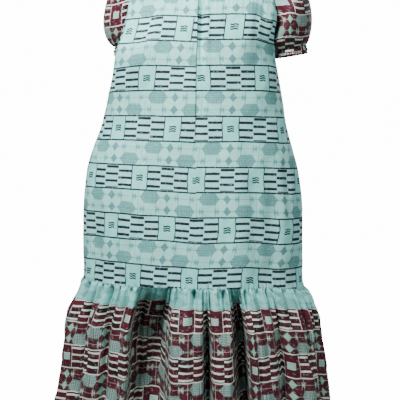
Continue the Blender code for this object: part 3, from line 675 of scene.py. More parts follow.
def skin_point(turn, z, lift=0.0, folds=()):
    """Points of the dress below the shoulders, lift metres out of its folded surface."""
    turn, z = np.broadcast_arrays(np.asarray(turn, float), np.asarray(z, float))
    sine, cosine = sine_cosine(turn)
    right = sine < 0
    half = np.where(right, section_value("right_half", z), section_value("left_half", z))
    front = section_value("front_depth", z)
    depth = np.where(cosine > 0, front, section_value("back_depth", z))
    reach = side_reach(turn, z)
    back_half = np.where(right, half - right_tuck(z), half)
    x = back_half * sine
    y = -(depth - reach) * cosine - np.copysign(reach, cosine)
    y = y + np.where(right, section_value("right_side_y", z) * sine * sine, 0.0)
    plain = (x, y, sine / back_half, -cosine / depth)
    rolled = rolled_front(turn, z, half, depth, reach)
    on_roll = right & (cosine > 0)
    x, y, out_x, out_y = (np.where(on_roll, *values) for values in zip(rolled, plain))
    out = (fold_height(turn, z, folds) + lift) / np.hypot(out_x, out_y)
    return joined(x + out_x * out, y + out_y * out, z)


def half_at(side, z):
    """How far out the side edge of the panels lies at heights z."""
    left = section_value("left_half", z)
    return np.where(np.asarray(side) > 0, left, section_value("right_half", z) - right_tuck(z))


def armhole_point(side, around):
    """Points of the armhole: 0 at the shoulder, 0.25 in front, 0.5 at the underarm, 0.75 behind."""
    angle = 2 * np.pi * np.asarray(around)
    z = ARMHOLE_MIDDLE_Z + ARMHOLE_HALF_HEIGHT * np.cos(angle)
    side_y = np.where(np.asarray(side) < 0, section_value("right_side_y", z), 0.0)
    y = side_y - np.copysign(armhole_reach(z), np.sin(angle))
    return joined(side * half_at(side, z), y, z)


def neckline_point(turn):
    """Points of the neckline, which is lower and further out in front than behind."""
    sine, cosine = sine_cosine(turn)
    reach = np.where(cosine > 0, NECK_FRONT_REACH, NECK_BACK_REACH)
    drop = np.where(cosine > 0, NECK_FRONT_DROP, NECK_BACK_DROP)
    return joined(
        NECK_HALF_WIDTH * sine, -reach * cosine, -drop * np.abs(cosine) ** NECKLINE_ROUNDNESS
    )


def top_edge_point(turn):
    """The neckline, then the shoulder seam out to the armhole, for a front or a back panel."""
    back = np.abs(turn) > 90
    from_centre = np.where(back, turn - 180, turn)
    side = np.where(back, -1, 1) * np.copysign(1.0, from_centre)
    share = np.abs(from_centre) / 90
    neck_turn = from_centre / NECK_SHARE
    neck = neckline_point(np.where(back, neck_turn + 180, neck_turn))
    out = (share - NECK_SHARE) / (1 - NECK_SHARE)
    seam_x = side * mix(NECK_HALF_WIDTH, half_at(side, np.full(turn.shape, -SHOULDER_DROP)), out)
    seam_y = np.where(back, SHOULDER_GAP / 2, -SHOULDER_GAP / 2)
    seam = joined(seam_x, seam_y, -SHOULDER_DROP * out)
    return np.where((share < NECK_SHARE)[..., None], neck, seam)


def over_shoulder(turn, share):
    """The plain cloth above the yoke line: level from the top edge, then turning down."""
    top, low = top_edge_point(turn), skin_point(turn, YOKE_Z, folds=FOLDS)
    roll = np.radians(90 * share)
    return top + (low - top) * joined(share, np.sin(roll), 1 - np.cos(roll))


def shoulder_point(turn, share):
    """Points of the panels above the yoke line, at a share of the way down from the top edge."""
    sine, cosine = sine_cosine(turn)
    side, back = np.where(sine > 0, 1, -1), cosine < 0
    edge_turn = np.where(back, 180 - side * EDGE_TURN, side * EDGE_TURN)
    yoke_cosine = (YOKE_Z - ARMHOLE_MIDDLE_Z) / ARMHOLE_HALF_HEIGHT
    around = math.acos(yoke_cosine) / (2 * math.pi) * share
    edge = armhole_point(side, np.where(back, 1 - around, around))
    edge[..., 1] += np.where(back, SHOULDER_GAP, -SHOULDER_GAP) / 2
    weight = 1 - smooth(np.abs(turn - edge_turn) / ARMHOLE_BLEND_TURN)
    plain_edge = over_shoulder(edge_turn, share)
    return over_shoulder(turn, share) + weight[..., None] * (edge - plain_edge)


def tier_seam_z(turn):
    """Height of the seam between the body and the gathered tier."""
    rise = TIER_RIGHT_RISE * (1 - np.sin(np.radians(turn))) / 2
    dip = TIER_LEFT_DIP * (1 - smooth(np.abs(turn_from(90, turn)) / TIER_DIP_TURN))
    return TIER_Z + rise - dip


def body_z(level, turn):
    """The height of a panel's row: level at the top, following the tier seam further down."""
    down = (YOKE_Z - level) / (YOKE_Z - TIER_Z)
    return level + (tier_seam_z(turn) - TIER_Z) * down**3


def waves(table, turn):
    return sum(wave.height * np.sin(wave.pace * turn + wave.start) for wave in table)


def gather_turn(gathers, below, across):
    """Where in its wave a place lies: at a whole turn it is at the bottom of a hollow."""
    turn = 2 * np.pi * across / gathers.pitch
    lean = below / gathers.gone_below * GATHER_LEAN_DOWN + GATHER_LEAN_PACE * turn
    return turn + waves(GATHER_WANDER, turn) + GATHER_LEAN * np.sin(lean)


def gather_height(gathers, below, across):
    """Gathers' lift at a depth below their seam, across metres of flat cloth."""
    turn = 2 * np.pi * across / gathers.pitch
    length = GATHER_LENGTH + waves(GATHER_LENGTHS, turn)
    gone = mix(gathers.crest_below, gathers.gone_below, length)
    rising = smooth(below / gathers.crest_below)
    fading = smooth((below - gathers.crest_below) / (gone - gathers.crest_below))
    strength = rising * mix(1, gathers.left_over, fading)
    bottom = np.sin(gather_turn(gathers, below, across) / 2) ** 2
    hollow = np.sqrt(bottom + GATHER_ROUNDNESS**2)
    uneven = GATHER_EVEN + waves(GATHER_HEIGHTS, turn)
    return gathers.height * strength * uneven * (GATHER_SPAN * hollow - GATHER_SINK)


def seam_pucker(turn, from_seam):
    """The small sharp hollows in which the cloth puckers on both sides of the tier's seam."""
    wave = SEAM_PUCKERS * np.radians(turn)
    hollow = np.abs(np.sin((wave + waves(PUCKER_WANDER, wave)) / 2))
    calm = smooth(np.abs((turn % 180) - 90) / SEAM_CALM_TURN)
    height = SEAM_PUCKER_HEIGHT * (PUCKER_EVEN + waves(PUCKER_HEIGHTS, wave)) * calm
    fading = np.exp(-np.abs(from_seam) / SEAM_PUCKER_REACH)
    return height * fading * (SEAM_PUCKER_SPAN * hollow - SEAM_PUCKER_SINK)


def ripples(table, across, down, bend=0.0):
    return sum(
        ripple.height * np.sin(ripple.across * across + ripple.down * down + bend + ripple.start)
        for ripple in table
    )


def crumple(settings, flat):
    """The slight unevenness of cotton that has been worn, for places on the flat cloth."""
    across, down = flat[..., 0], flat[..., 1]
    bend = ripples(CRUMPLE_BENDS, across, down)
    return settings.crumple * ripples(CRUMPLE_RIPPLES, across, down, bend)


def seam_dip(from_seam):
    """How far the cloth sinks at a distance from a seam."""
    return -SEAM_SINK * np.exp(-np.maximum(from_seam, 0) / SEAM_SINK_WIDTH)


def along_rows(points):
    """Distances from the first column along each row of a grid of points."""
    steps = np.linalg.norm(np.diff(points, axis=1), axis=2)
    return np.concatenate((np.zeros((len(points), 1)), np.cumsum(steps, axis=1)), axis=1)


def along_columns(points):
    """Distances from the first row down each column of a grid of points."""
    return along_rows(np.swapaxes(points, 0, 1)).T


def shift_at(table, turn_of, turn, z):
    """A table's shift in metres, with its columns standing at the turns in turn_of."""
    table = table[::-1]
    columns = [np.interp(z, column_of(table, "z"), column_of(table, name)) for name in turn_of]
    shift = np.zeros(np.broadcast(turn, z).shape)
    turns = list(turn_of.values())
    for first in range(len(turns) - 1):
        share = (turn - turns[first]) / (turns[first + 1] - turns[first])
        inside = (share >= 0) & (share <= 1)
        shift = np.where(inside, mix(columns[first], columns[first + 1], share), shift)
    return shift / 1000


def mesh_of(name, shape):
    """A smooth mesh from a bmesh that isn't needed any longer."""
    mesh = bpy.data.meshes.new(name)
    shape.to_mesh(mesh)
    shape.free()
    mesh.shade_smooth()
    return mesh


def placed(name, data):
    """A new object in the scene."""
    thing = bpy.data.objects.new(name, data)
    bpy.context.scene.collection.objects.link(thing)
    return thing


def sheet_mesh(name, points, flat, facing=-1, tube=False):
    """A sheet through a grid of points, whose UV map holds the same grid on the flat cloth."""
    rows, columns = points.shape[0] - 1, points.shape[1] - 1
    shape = bmesh.new()
    cloth = shape.loops.layers.uv.new(CLOTH_MAP)
    bmesh.ops.create_grid(shape, x_segments=columns, y_segments=rows, size=0.5)
    for vertex in shape.verts:
        column = round((vertex.co.x + 0.5) * columns)
        row = round((vertex.co.y + 0.5) * rows)
        for corner in vertex.link_loops:
            corner[cloth].uv = flat[row, column]
        vertex.co = points[row, 0 if tube and column == columns else column]
    if tube:
        bmesh.ops.remove_doubles(shape, verts=shape.verts, dist=MERGE_DISTANCE)
    if facing < 0:
        bmesh.ops.reverse_faces(shape, faces=shape.faces)
    return mesh_of(name, shape)


def cloth_piece(name, mesh, skin, wall):
    """The sheet as an object with the cloth's thickness on its inner side."""
    mesh.materials.append(bpy.data.materials[skin])
    piece = placed(name, mesh)
    solid = piece.modifiers.new("cloth thickness", "SOLIDIFY")
    solid.thickness = wall
    solid.offset = -1
    solid.use_even_offset = False
    return piece


def skin_out(turn, z):
    """Which way the plain section faces at a place on the dress, level with the floor."""
    out = skin_point(turn, z, lift=0.001) - skin_point(turn, z)
    return out / np.linalg.norm(out, axis=-1)[..., None]


def panel_turn(first, last, columns):
    return np.linspace(first + SIDE_GAP_TURN, last - SIDE_GAP_TURN, columns + 1)[None, :]


def body_levels(top, settings):
    """The heights of a panel's rows, which lie closer together near its lower seam."""
    share = 1 - (1 - shares(settings.body_rows)) ** BODY_ROW_SPACING
    return mix(top, TIER_Z, share[:, None])


def side_calm(from_centre):
    """How freely the cloth creases: not at the side seams, and fully a little way in."""
    return smooth((90 - np.abs(from_centre)) / EDGE_CALM_TURN)


def body_flat(points, z, centre_column):
    """The body's cloth laid flat: across from a column of its grid, down from the first line."""
    run = along_rows(points)
    across = run - run[:, centre_column][:, None]
    table = DRIFTS[::-1]
    drift = np.interp(z, column_of(table, "z"), column_of(table, "sideways"))
    return joined(across - drift + CELL_OFFSET, z - FIRST_LINE_Z)


def pleat_grid(level, columns):
    """The pleat's rows at the heights in level: how far left each place lies and how far out."""
    down = (YOKE_Z - level) / (YOKE_Z - PLEAT_END_Z)
    edge = mix(PLEAT_TOP_X, PLEAT_END_X, np.minimum(down, 1))
    lap = PLEAT_LAP * (1 - smooth((YOKE_Z - level) / (YOKE_Z - PLEAT_LAP_END_Z)))
    spread = smooth((PLEAT_LAP_END_Z - level) / (PLEAT_LAP_END_Z - PLEAT_END_Z))
    last = len(PLEAT_STEPS) - 1
    step = np.linspace(0, last, columns + 1)
    columns_of = (column_of(PLEAT_STEPS, name) for name in PleatStep._fields)
    fold = PleatStep(*(np.interp(step, range(last + 1), values) for values in columns_of))
    folded_x = lap * fold.lap + PLEAT_EDGE * fold.edge
    flat_x = PLEAT_EDGE * (step / 2 - 1)
    return edge + mix(folded_x, flat_x, spread), PLEAT_HEIGHT * (1 - spread) * fold.height


def front_body_mesh(settings):
    """The front below the yoke, with the pleat at its centre."""
    right_columns, pleat_columns = settings.front_right_columns, settings.pleat_columns
    level = body_levels(YOKE_Z - SEAM_GAP, settings)
    pleat_x, pleat_lift = pleat_grid(level, pleat_columns)
    left_half, right_half = section_value("left_half", level), section_value("right_half", level)
    pleat_turn = np.degrees(np.arcsin(pleat_x / np.where(pleat_x > 0, left_half, right_half)))
    right_share = shares(right_columns)[None, :-1]
    left_share = shares(settings.front_left_columns)[None, 1:]
    right_turn = mix(-90 + SIDE_GAP_TURN, pleat_turn[:, :1], right_share)
    left_turn = mix(pleat_turn[:, -1:], 90 - SIDE_GAP_TURN, left_share)
    right_x = right_half * np.sin(np.radians(right_turn))
    ease = 1 - smooth((pleat_x[:, :1] - right_x) / PLEAT_EASE)
    turn = np.concatenate((right_turn, pleat_turn, left_turn), axis=1)
    lift = np.concatenate(
        (pleat_lift[:, :1] * ease, pleat_lift, np.zeros(left_turn.shape)), axis=1
    )
    z = body_z(level, turn)

    flat = body_flat(skin_point(turn, z, lift, FOLDS), z, right_columns)
    lapped = np.arange(turn.shape[1]) > right_columns + pleat_columns // 2
    line_turn = np.where(
        lapped,
        np.maximum(turn, SHIFT_TURNS["lapped"]),
        np.minimum(turn, SHIFT_TURNS["pleat"]),
    )
    flat[..., 0] -= shift_at(CELL_SHIFTS, CELL_SHIFT_TURNS, turn, z)
    flat[..., 1] -= shift_at(LINE_SHIFTS, SHIFT_TURNS, line_turn, z)

    from_yoke, from_tier = YOKE_Z - z, z - tier_seam_z(turn)
    from_fold = np.concatenate((1 - right_share[0], np.zeros(pleat_columns + 1), left_share[0]))
    fine = gather_height(YOKE_GATHERS, from_yoke, flat[..., 0])
    fine = fine + gather_height(SHIRRING, from_tier, flat[..., 0] + SHIRRING_OFFSET)
    fine = fine + crumple(settings, flat) * smooth(from_tier / SEAM_CALM)
    fine = fine * smooth(from_fold / FOLD_CALM) * side_calm(turn)
    fine = fine + seam_dip(from_yoke) + seam_pucker(turn, from_tier)
    return sheet_mesh("front_body", skin_point(turn, z, lift + fine, FOLDS + CREASES), flat)


def shoulder_flat(points, flat_low):
    """The cloth above its last row, which is laid flat already, straight up along the grain."""
    run, up = along_rows(points), along_columns(points)
    middle = points.shape[1] // 2
    across = run - run[:, middle][:, None] + flat_low[middle, 0]
    return joined(across, flat_low[None, :, 1] + (up[-1][None, :] - up))


def yoke_mesh(settings):
    """The front yoke, from the neck and the shoulders down to its level seam."""
    turn, share = np.broadcast_arrays(
        panel_turn(-90, 90, settings.yoke_columns), shares(settings.yoke_rows)[:, None]
    )
    points = shoulder_point(turn, share)
    low = joined(np.full(turn.shape[1], CELL_OFFSET + YOKE_CLOTH_OFFSET), YOKE_Z - FIRST_LINE_Z)
    flat = shoulder_flat(points, low)
    calm = side_calm(turn) * smooth(share / YOKE_CALM) * smooth((1 - share) / YOKE_CALM)
    from_yoke = np.linalg.norm(points - points[-1:], axis=-1)
    rise = crumple(settings, flat) * calm + seam_dip(from_yoke)
    return sheet_mesh("front_yoke", points + skin_out(turn, YOKE_Z) * rise[..., None], flat)


def back_body_mesh(settings):
    """The back, from the neck and the shoulders down to the tier seam in one piece."""
    turn = panel_turn(90, 270, settings.back_columns)
    share = shares(settings.yoke_rows)[:-1, None]
    upper = shoulder_point(*np.broadcast_arrays(turn, share))
    level = body_levels(YOKE_Z, settings)
    turn = np.broadcast_to(turn, (len(level), turn.shape[1]))
    z = body_z(level, turn)
    lower = skin_point(turn, z, folds=FOLDS)
    flat_low = body_flat(lower, z, turn.shape[1] // 2)
    flat_up = shoulder_flat(np.concatenate((upper, lower[:1])), flat_low[0])[:-1]
    flat = np.concatenate((flat_up, flat_low)) + (BACK_CLOTH_OFFSET, 0)

    calm = side_calm(turn[:1] - 180)
    wrinkle = crumple(settings, flat) * calm
    from_tier = z - tier_seam_z(turn)
    fine = wrinkle[len(share):] * smooth(from_tier / SEAM_CALM)
    fine = fine + gather_height(SHIRRING, from_tier, flat_low[..., 0]) * calm
    fine = fine + seam_pucker(turn, from_tier)
    lower = skin_point(turn, z, fine, FOLDS + CREASES)
    rise = wrinkle[: len(share)] * smooth(share / SHOULDER_CALM)
    upper = upper + skin_out(turn[:1], z[:1]) * rise[..., None]
    return sheet_mesh("back_body", np.concatenate((upper, lower)), flat)


def turned_hem(edge, flat, out):
    """The rows that roll in round the hem and run up behind it, and their places laid flat."""
    angles = math.pi * shares(HEM_ROLL_STEPS)[1:]
    steps = [
        (HEM_ROLL * (1 - math.cos(angle)), -HEM_ROLL * math.sin(angle), -2 * HEM_ROLL)
        for angle in angles
    ]
    steps += [(2 * HEM_ROLL, HEM_WIDTH * part, HEM_WIDTH * part) for part in HEM_PARTS]
    rows = [edge - out * inwards + (0, 0, rise) for inwards, rise, _ in steps]
    return np.array(rows), np.array([flat + (0, along) for _, _, along in steps])


def tier_mesh(name, first, last, settings):
    """Half of the gathered tier, from one side seam to the other, with its hem turned up inside."""
    turn = panel_turn(first, last, settings.tier_columns)
    hem_run = along_rows(skin_point(turn, HEM_Z, folds=TIER_FOLDS))[0]
    across = hem_run * settings.tier_flat_width * TIER_PULL / hem_run[-1]
    top = tier_seam_z(turn) - SEAM_GAP
    z = mix(top, HEM_Z, shares(settings.tier_rows)[:, None] ** TIER_ROW_SPACING)
    turn, across = (np.broadcast_to(values, z.shape) for values in (turn, across))
    below = top - z

    valley = np.minimum(fold_height(turn, z, TIER_FOLDS), 0)
    below_line = tier_seam_z(turn) - HEADER_DEPTH - VALLEY_RISE * valley - z
    bands = np.interp(below_line, LINE_DEPTHS, range(len(LINE_DEPTHS)))
    down = -BAND * np.where(below_line > 0, bands, below_line / HEADER_STRETCH)
    drawn_in = TIER_TUCK * np.sin(gather_turn(TIER_GATHERS, below, across))
    flat = joined(across + drawn_in + settings.tier_print_offset, down)

    edge = smooth(np.minimum(across, across[:, -1:] - across) / TIER_EDGE_CALM)
    worn = crumple(settings, joined(across, down)) * smooth(below / SEAM_CALM)
    fine = gather_height(TIER_GATHERS, below, across) + TIER_CRUMPLE * worn
    fine = fine + gather_height(TIER_FINE_GATHERS, below, across + FINE_GATHER_OFFSET)
    points = skin_point(turn, z, fine * edge + seam_pucker(turn, below), TIER_FOLDS)
    sine, cosine = sine_cosine(turn)
    points[..., 0] -= TROUGH_SQUARE * valley * sine * cosine**2

    turned, turned_flat = turned_hem(points[-1], flat[-1], skin_out(turn[-1], z[-1]))
    allowance = points[:1] - skin_out(turn[:1], z[:1]) * SEAM_TUCK_IN + (0, 0, SEAM_TUCK_UP)
    mesh = sheet_mesh(
        name,
        np.concatenate((allowance, points, turned)),
        np.concatenate((flat[:1] + (0, SEAM_TUCK_UP), flat, turned_flat)),
    )
    sewn = np.abs(z[:, 0] - HEM_Z - HEM_WIDTH).argmin()
    return mesh, [grid_row(points, sewn)]


def cuff_point(sleeve, around, below, lift):
    """Points of the elastic cuff: 0 on the arm's outer side, 0.25 in front, 0.5 beside the body."""
    angle = 2 * np.pi * around
    widen = lift + CUFF_FLARE * below / CUFF_HEIGHT
    x = sleeve.cuff_x + sleeve.side * (sleeve.cuff_half_width + widen) * np.cos(angle)
    y = sleeve.cuff_y - (sleeve.cuff_half_depth + widen) * np.sin(angle)
    return joined(x, y, sleeve.cuff_z + sleeve.cuff_tilt * np.cos(angle) - below)


def sleeve_form(sleeve, around, along):
    """Points of a puff sleeve, on a curve from the armhole out and down to the cuff."""
    around, along = np.broadcast_arrays(around, along)
    side, angle = sleeve.side, 2 * np.pi * around
    cosine, sine = np.cos(angle), np.sin(angle)
    up = (1 + cosine) / 2
    fore = np.where(sine > 0, sleeve.front_out, sleeve.back_out)
    seam = joined(side * SEAM_GAP, ARMHOLE_EASE * sine, -ARMHOLE_EASE * cosine)
    start = armhole_point(side, around) + seam
    end = cuff_point(sleeve, around, 0.0, 0.0)
    leave = start + joined(
        side * mix(sleeve.under_out, sleeve.top_out, up),
        -fore * np.copysign(np.sqrt(np.abs(sine)), sine),
        up * sleeve.top_rise,
    )
    arrive = end + joined(
        side * mix(BODY_SIDE_PUFF, sleeve.low_puff, up) * cosine,
        -(sleeve.low_puff + fore) * sine,
        mix(sleeve.under_fall, sleeve.top_fall, up),
    )
    t = along[..., None]
    weights = ((1 - t) ** 3, 3 * t * (1 - t) ** 2, 3 * t * t * (1 - t), t**3)
    return sum(weight * corner for weight, corner in zip(weights, (start, leave, arrive, end)))


def sleeve_mesh(name, sleeve, settings, print_place):
    """A puff sleeve, gathered at its head and into its cuff."""
    around = shares(settings.sleeve_columns)[None, :]
    along = shares(settings.sleeve_rows)[:, None]
    form = sleeve_form(sleeve, around, along)
    run = along_columns(form)
    to_cuff = run[-1:] - run
    across = np.broadcast_to(around * settings.sleeve_flat_width, to_cuff.shape)
    angle = 2 * np.pi * around
    up = (1 + np.cos(angle)) / 2
    risen = form[..., 2] - form[-1:, :, 2]
    outer = smooth((np.cos(angle) - SLEEVE_OUTER_START) / SLEEVE_OUTER_SPAN)
    down = SLEEVE_BAND_SHARE * mix(risen, to_cuff, outer) + print_place.rise
    flat = joined(across + print_place.around, down)

    pitches = round(settings.sleeve_flat_width / HEAD_GATHERS.pitch)
    even = across * pitches * HEAD_GATHERS.pitch / settings.sleeve_flat_width
    head = gather_height(HEAD_GATHERS, run, even)
    head = head * smooth(up / HEAD_GATHER_RISE) * smooth(up / HEAD_GATHER_FADE)
    low = gather_height(CUFF_GATHERS, to_cuff, across)
    low = low + gather_height(CUFF_FINE_GATHERS, to_cuff, across)
    seam = smooth(np.minimum(around, 1 - around) / SLEEVE_SEAM_CALM)
    worn = crumple(settings, joined(across, to_cuff))
    lift = (head + low + worn) * seam * smooth(along / SLEEVE_HEAD_CALM) + seam_dip(to_cuff)
    direction = joined(sleeve.side * np.cos(angle) * along, -np.sin(angle), up * (1 - along))
    points = form + direction * lift[..., None]
    return sheet_mesh(name, points, flat, facing=sleeve.side, tube=True), []


def cuff_mesh(name, sleeve, settings, print_place):
    """The elastic cuff: a casing that puckers over its elastic, turned in at its lower edge."""
    around = shares(settings.cuff_columns)[None, :]
    below = CUFF_HEIGHT * shares(settings.cuff_rows)[:, None]
    across = around * settings.sleeve_flat_width
    angle = 2 * np.pi * around
    wave = 2 * np.pi * np.round(settings.sleeve_flat_width / CUFF_PUCKER) * around
    wander = CUFF_PUCKER_WANDER * np.sin(CUFF_WANDER_WAVES * angle)
    pucker = np.cos(wave + wander) * (PUCKER_EVEN + waves(CUFF_PUCKER_HEIGHTS, wave))
    from_edge = np.minimum(np.abs(below - CUFF_STITCH), np.abs(below - CUFF_HEIGHT + CUFF_STITCH))
    full = mix(CUFF_PUCKER_AT_STITCH, 1, smooth(from_edge / CUFF_PUCKER_WIDTH))
    lift = CUFF_PUFF * smooth(from_edge / CUFF_PUFF_WIDTH) + CUFF_PUCKER_HEIGHT * pucker * full
    lift = lift + seam_dip(below)
    points = cuff_point(sleeve, around, SEAM_GAP + below, lift)

    into, rise, ahead = (column_of(CUFF_EDGE, name)[:, None] for name in EdgeStep._fields)
    into = into * HEM_ROLL * 2
    bottom = cuff_point(sleeve, around, SEAM_GAP + CUFF_HEIGHT, lift[-1:])
    inner = bottom + joined(-into * sleeve.side * np.cos(angle), into * np.sin(angle), rise)
    flat = joined(across + print_place.around, print_place.rise - below)
    mesh = sheet_mesh(
        name,
        np.concatenate((points, inner)),
        np.concatenate((flat, flat[-1:] - joined(0 * across, ahead))),
        facing=sleeve.side, tube=True,
    )
    places = (CUFF_STITCH, CUFF_HEIGHT - CUFF_STITCH)
    sewn = [np.abs(below[:, 0] - place).argmin() for place in places]
    return mesh, [grid_row(points, row, -sleeve.side) for row in sewn]


def binding_mesh():
    """A strip folded over the neck edge, leaning in from the panels' top edges."""
    turn, share = np.broadcast_arrays(
        360 * shares(BINDING_COLUMNS)[None, :], shares(BINDING_ROWS)[:, None]
    )
    sine, cosine = sine_cosine(turn)
    x, y, z = np.moveaxis(neckline_point(turn), -1, 0)
    inwards = BINDING_WIDTH * share - BINDING_OVERLAP
    stay = 1 - BINDING_LEAN_IN * inwards / np.hypot(x, y)
    crown = BINDING_CROWN * np.sin(np.pi * share)
    rise = BINDING_RISE * inwards + crown * BINDING_CROWN_RISE
    points = joined(x * stay + crown * sine, y * stay - crown * cosine, z + rise)
    run = along_rows(points)
    ripple = np.sin(2 * np.pi * run / BINDING_RIPPLE_LENGTH) * np.sin(np.pi * share)
    points[..., 2] += BINDING_RIPPLE * ripple
    flat = joined(run, 0.5 * BAND + inwards)
    return sheet_mesh("neck_binding", points, flat, facing=1, tube=True)


def grid_row(points, row, facing=1):
    """The path along a row of a sheet's grid, and the way out of the cloth there."""
    out = facing * np.cross(np.gradient(points, axis=0)[row], np.gradient(points, axis=1)[row])
    return points[row], out / np.linalg.norm(out, axis=-1)[:, None]


def stitches(name, rows, thread):
    """Rows of stitches: small capsules of thread along each path, half sunk in the cloth."""
    shape = bmesh.new()
    for path, outward in rows:
        steps = np.linalg.norm(np.diff(path, axis=0), axis=1)
        run = np.concatenate(([0], np.cumsum(steps)))
        for centre in np.arange(STITCH_PITCH, run[-1] - STITCH_PITCH, STITCH_PITCH):
            place, ahead, out = (
                Vector([np.interp(at, run, values[:, axis]) for axis in range(3)])
                for values, at in (
                    (path, centre), (path, centre + STITCH_LENGTH / 2), (outward, centre)
                )
            )
            along = (ahead - place).normalized()
            up = (out - along * out.dot(along)).normalized()
            across = up.cross(along)
            for vertex in bmesh.ops.create_icosphere(shape, subdivisions=1, radius=0.5)["verts"]:
                x, y, z = vertex.co
                offset = along * (x * STITCH_LENGTH) + across * (y * STITCH_WIDTH)
                vertex.co = place + offset + up * (z * STITCH_RISE)
    bmesh.ops.recalc_face_normals(shape, faces=shape.faces)
    mesh = mesh_of(name, shape)
    mesh.materials.append(bpy.data.materials[thread])
    return placed(name, mesh)


def term_method(operation):
    """A method of Term that works it with other values in a math node."""
    return lambda term, *others: term.graph.math(operation, term, *others)


class Term:
    """A value in a node tree that is worked with like a number."""

    def __init__(self, graph, socket):
        self.graph, self.socket = graph, socket

    def __rsub__(self, other):
        return self.graph.math("SUBTRACT", other, self)

    __add__ = __radd__ = term_method("ADD")
    __mul__ = __rmul__ = term_method("MULTIPLY")
    __sub__ = term_method("SUBTRACT")
    __truediv__ = term_method("DIVIDE")
    __mod__ = term_method("FLOORED_MODULO")
    __lt__ = term_method("LESS_THAN")
    __abs__ = term_method("ABSOLUTE")
    floor = term_method("FLOOR")
    sine = term_method("SINE")


class Graph:
    """A node tree under construction: a material's, or a group's with named sockets."""

    def __init__(self, tree):
        self.tree = tree

    @classmethod
    def group(cls, name, inputs, outputs):
        tree = bpy.data.node_groups.new(name, "ShaderNodeTree")
        for way, sockets in (("INPUT", inputs), ("OUTPUT", outputs)):
            for label, kind in sockets.items():
                tree.interface.new_socket(label, in_out=way, socket_type=f"NodeSocket{kind}")
        graph = cls(tree)
        graph.given = graph.add("NodeGroupInput")
        graph.result = graph.add("NodeGroupOutput")
        return graph

    def add(self, kind, inputs=None, **settings):
        node = self.tree.nodes.new(kind)
        for name, value in settings.items():
            setattr(node, name, value)
        self.feed(node, inputs or {})
        return node

    def feed(self, node, values):
        """Links each value to the node's socket of that name, or sets a constant there."""
        for name, value in values.items():
            if isinstance(value, Term):
                self.tree.links.new(value.socket, node.inputs[name])
            else:
                node.inputs[name].default_value = value

    def take(self, name):
        return Term(self, self.given.outputs[name])

    def give(self, results):
        self.feed(self.result, results)
        return self.tree

    def node(self, kind, output, inputs=None, **settings):
        return Term(self, self.add(kind, inputs, **settings).outputs[output])

    def use(self, tree, inputs):
        """A group placed in this tree, as its outputs by name."""
        node = self.add("ShaderNodeGroup", node_tree=tree)
        self.feed(node, inputs)
        return {socket.name: Term(self, socket) for socket in node.outputs}

    def math(self, operation, *values):
        return self.node("ShaderNodeMath", 0, dict(enumerate(values)), operation=operation)

    def vector_math(self, operation, *values):
        inputs = dict(enumerate(values))
        return self.node("ShaderNodeVectorMath", "Vector", inputs, operation=operation)

    def lowest(self, first, *others):
        for value in others:
            first = self.math("MINIMUM", first, value)
        return first

    def highest(self, first, *others):
        for value in others:
            first = self.math("MAXIMUM", first, value)
        return first

    def ramp(self, value, low, high, start=0.0, end=1.0):
        """A soft step from start at low to end at high."""
        ends = {"From Min": low, "From Max": high, "To Min": start, "To Max": end, "Value": value}
        return self.node("ShaderNodeMapRange", "Result", ends, interpolation_type="SMOOTHSTEP")

    def blend(self, share, first, second, mode="MIX"):
        colours = {0: share, 6: first, 7: second}
        return self.node("ShaderNodeMix", 2, colours, data_type="RGBA", blend_type=mode)

    def layered(self, colour, *layers):
        """Inks printed over a colour one after another, each as strongly as its share says."""
        for share, ink in layers:
            colour = self.blend(share, colour, ink)
        return colour

    def parts(self, vector):
        node = self.add("ShaderNodeSeparateXYZ", {"Vector": vector})
        return [Term(self, node.outputs[place]) for place in range(3)]

    def joined(self, x, y, z=0.0):
        return self.node("ShaderNodeCombineXYZ", "Vector", {"X": x, "Y": y, "Z": z})

    def noise(self, place, scale, detail=2.0, output="Fac"):
        given = {"Vector": place, "Scale": scale, "Detail": detail}
        return self.node("ShaderNodeTexNoise", output, given)

    def inside(self, distance, soft=INK_EDGE):
        """1 where a distance is below zero, with the slight softness of printed ink."""
        return self.ramp(distance, -soft, soft, 1.0, 0.0)

    def box(self, x, y, half_width, half_height):
        """The distance outside a rectangle round the place where x and y are zero."""
        return self.highest(abs(x) - half_width, abs(y) - half_height)

    def diamond(self, x, y, half_width, half_height):
        return (abs(x) * (half_height / half_width) + abs(y)) - half_height

    def hexagon(self, x, y, half_width, half_height):
        """The distance outside a hexagon lying on its side, with a point at each end."""
        return self.highest(abs(y) - half_height, abs(x) + abs(y) * HEXAGON_POINT - half_width)

    def disc(self, x, y, radius):
        return self.math("SQRT", x * x + y * y) - radius


def off(x, place, repeat):
    """How far x lies from a place that comes back every repeat."""
    return (x - place + repeat / 2) % repeat - repeat / 2


def band_place(graph, cloth):
    """How far across a place lies, its band's number and how far down that band it is."""
    across, down, _ = graph.parts(cloth)
    band_share = down * (-1 / BAND)
    band = band_share.floor()
    return across, band, band_share - band


def is_bar_band(band):
    return (band % 2) < 0.5


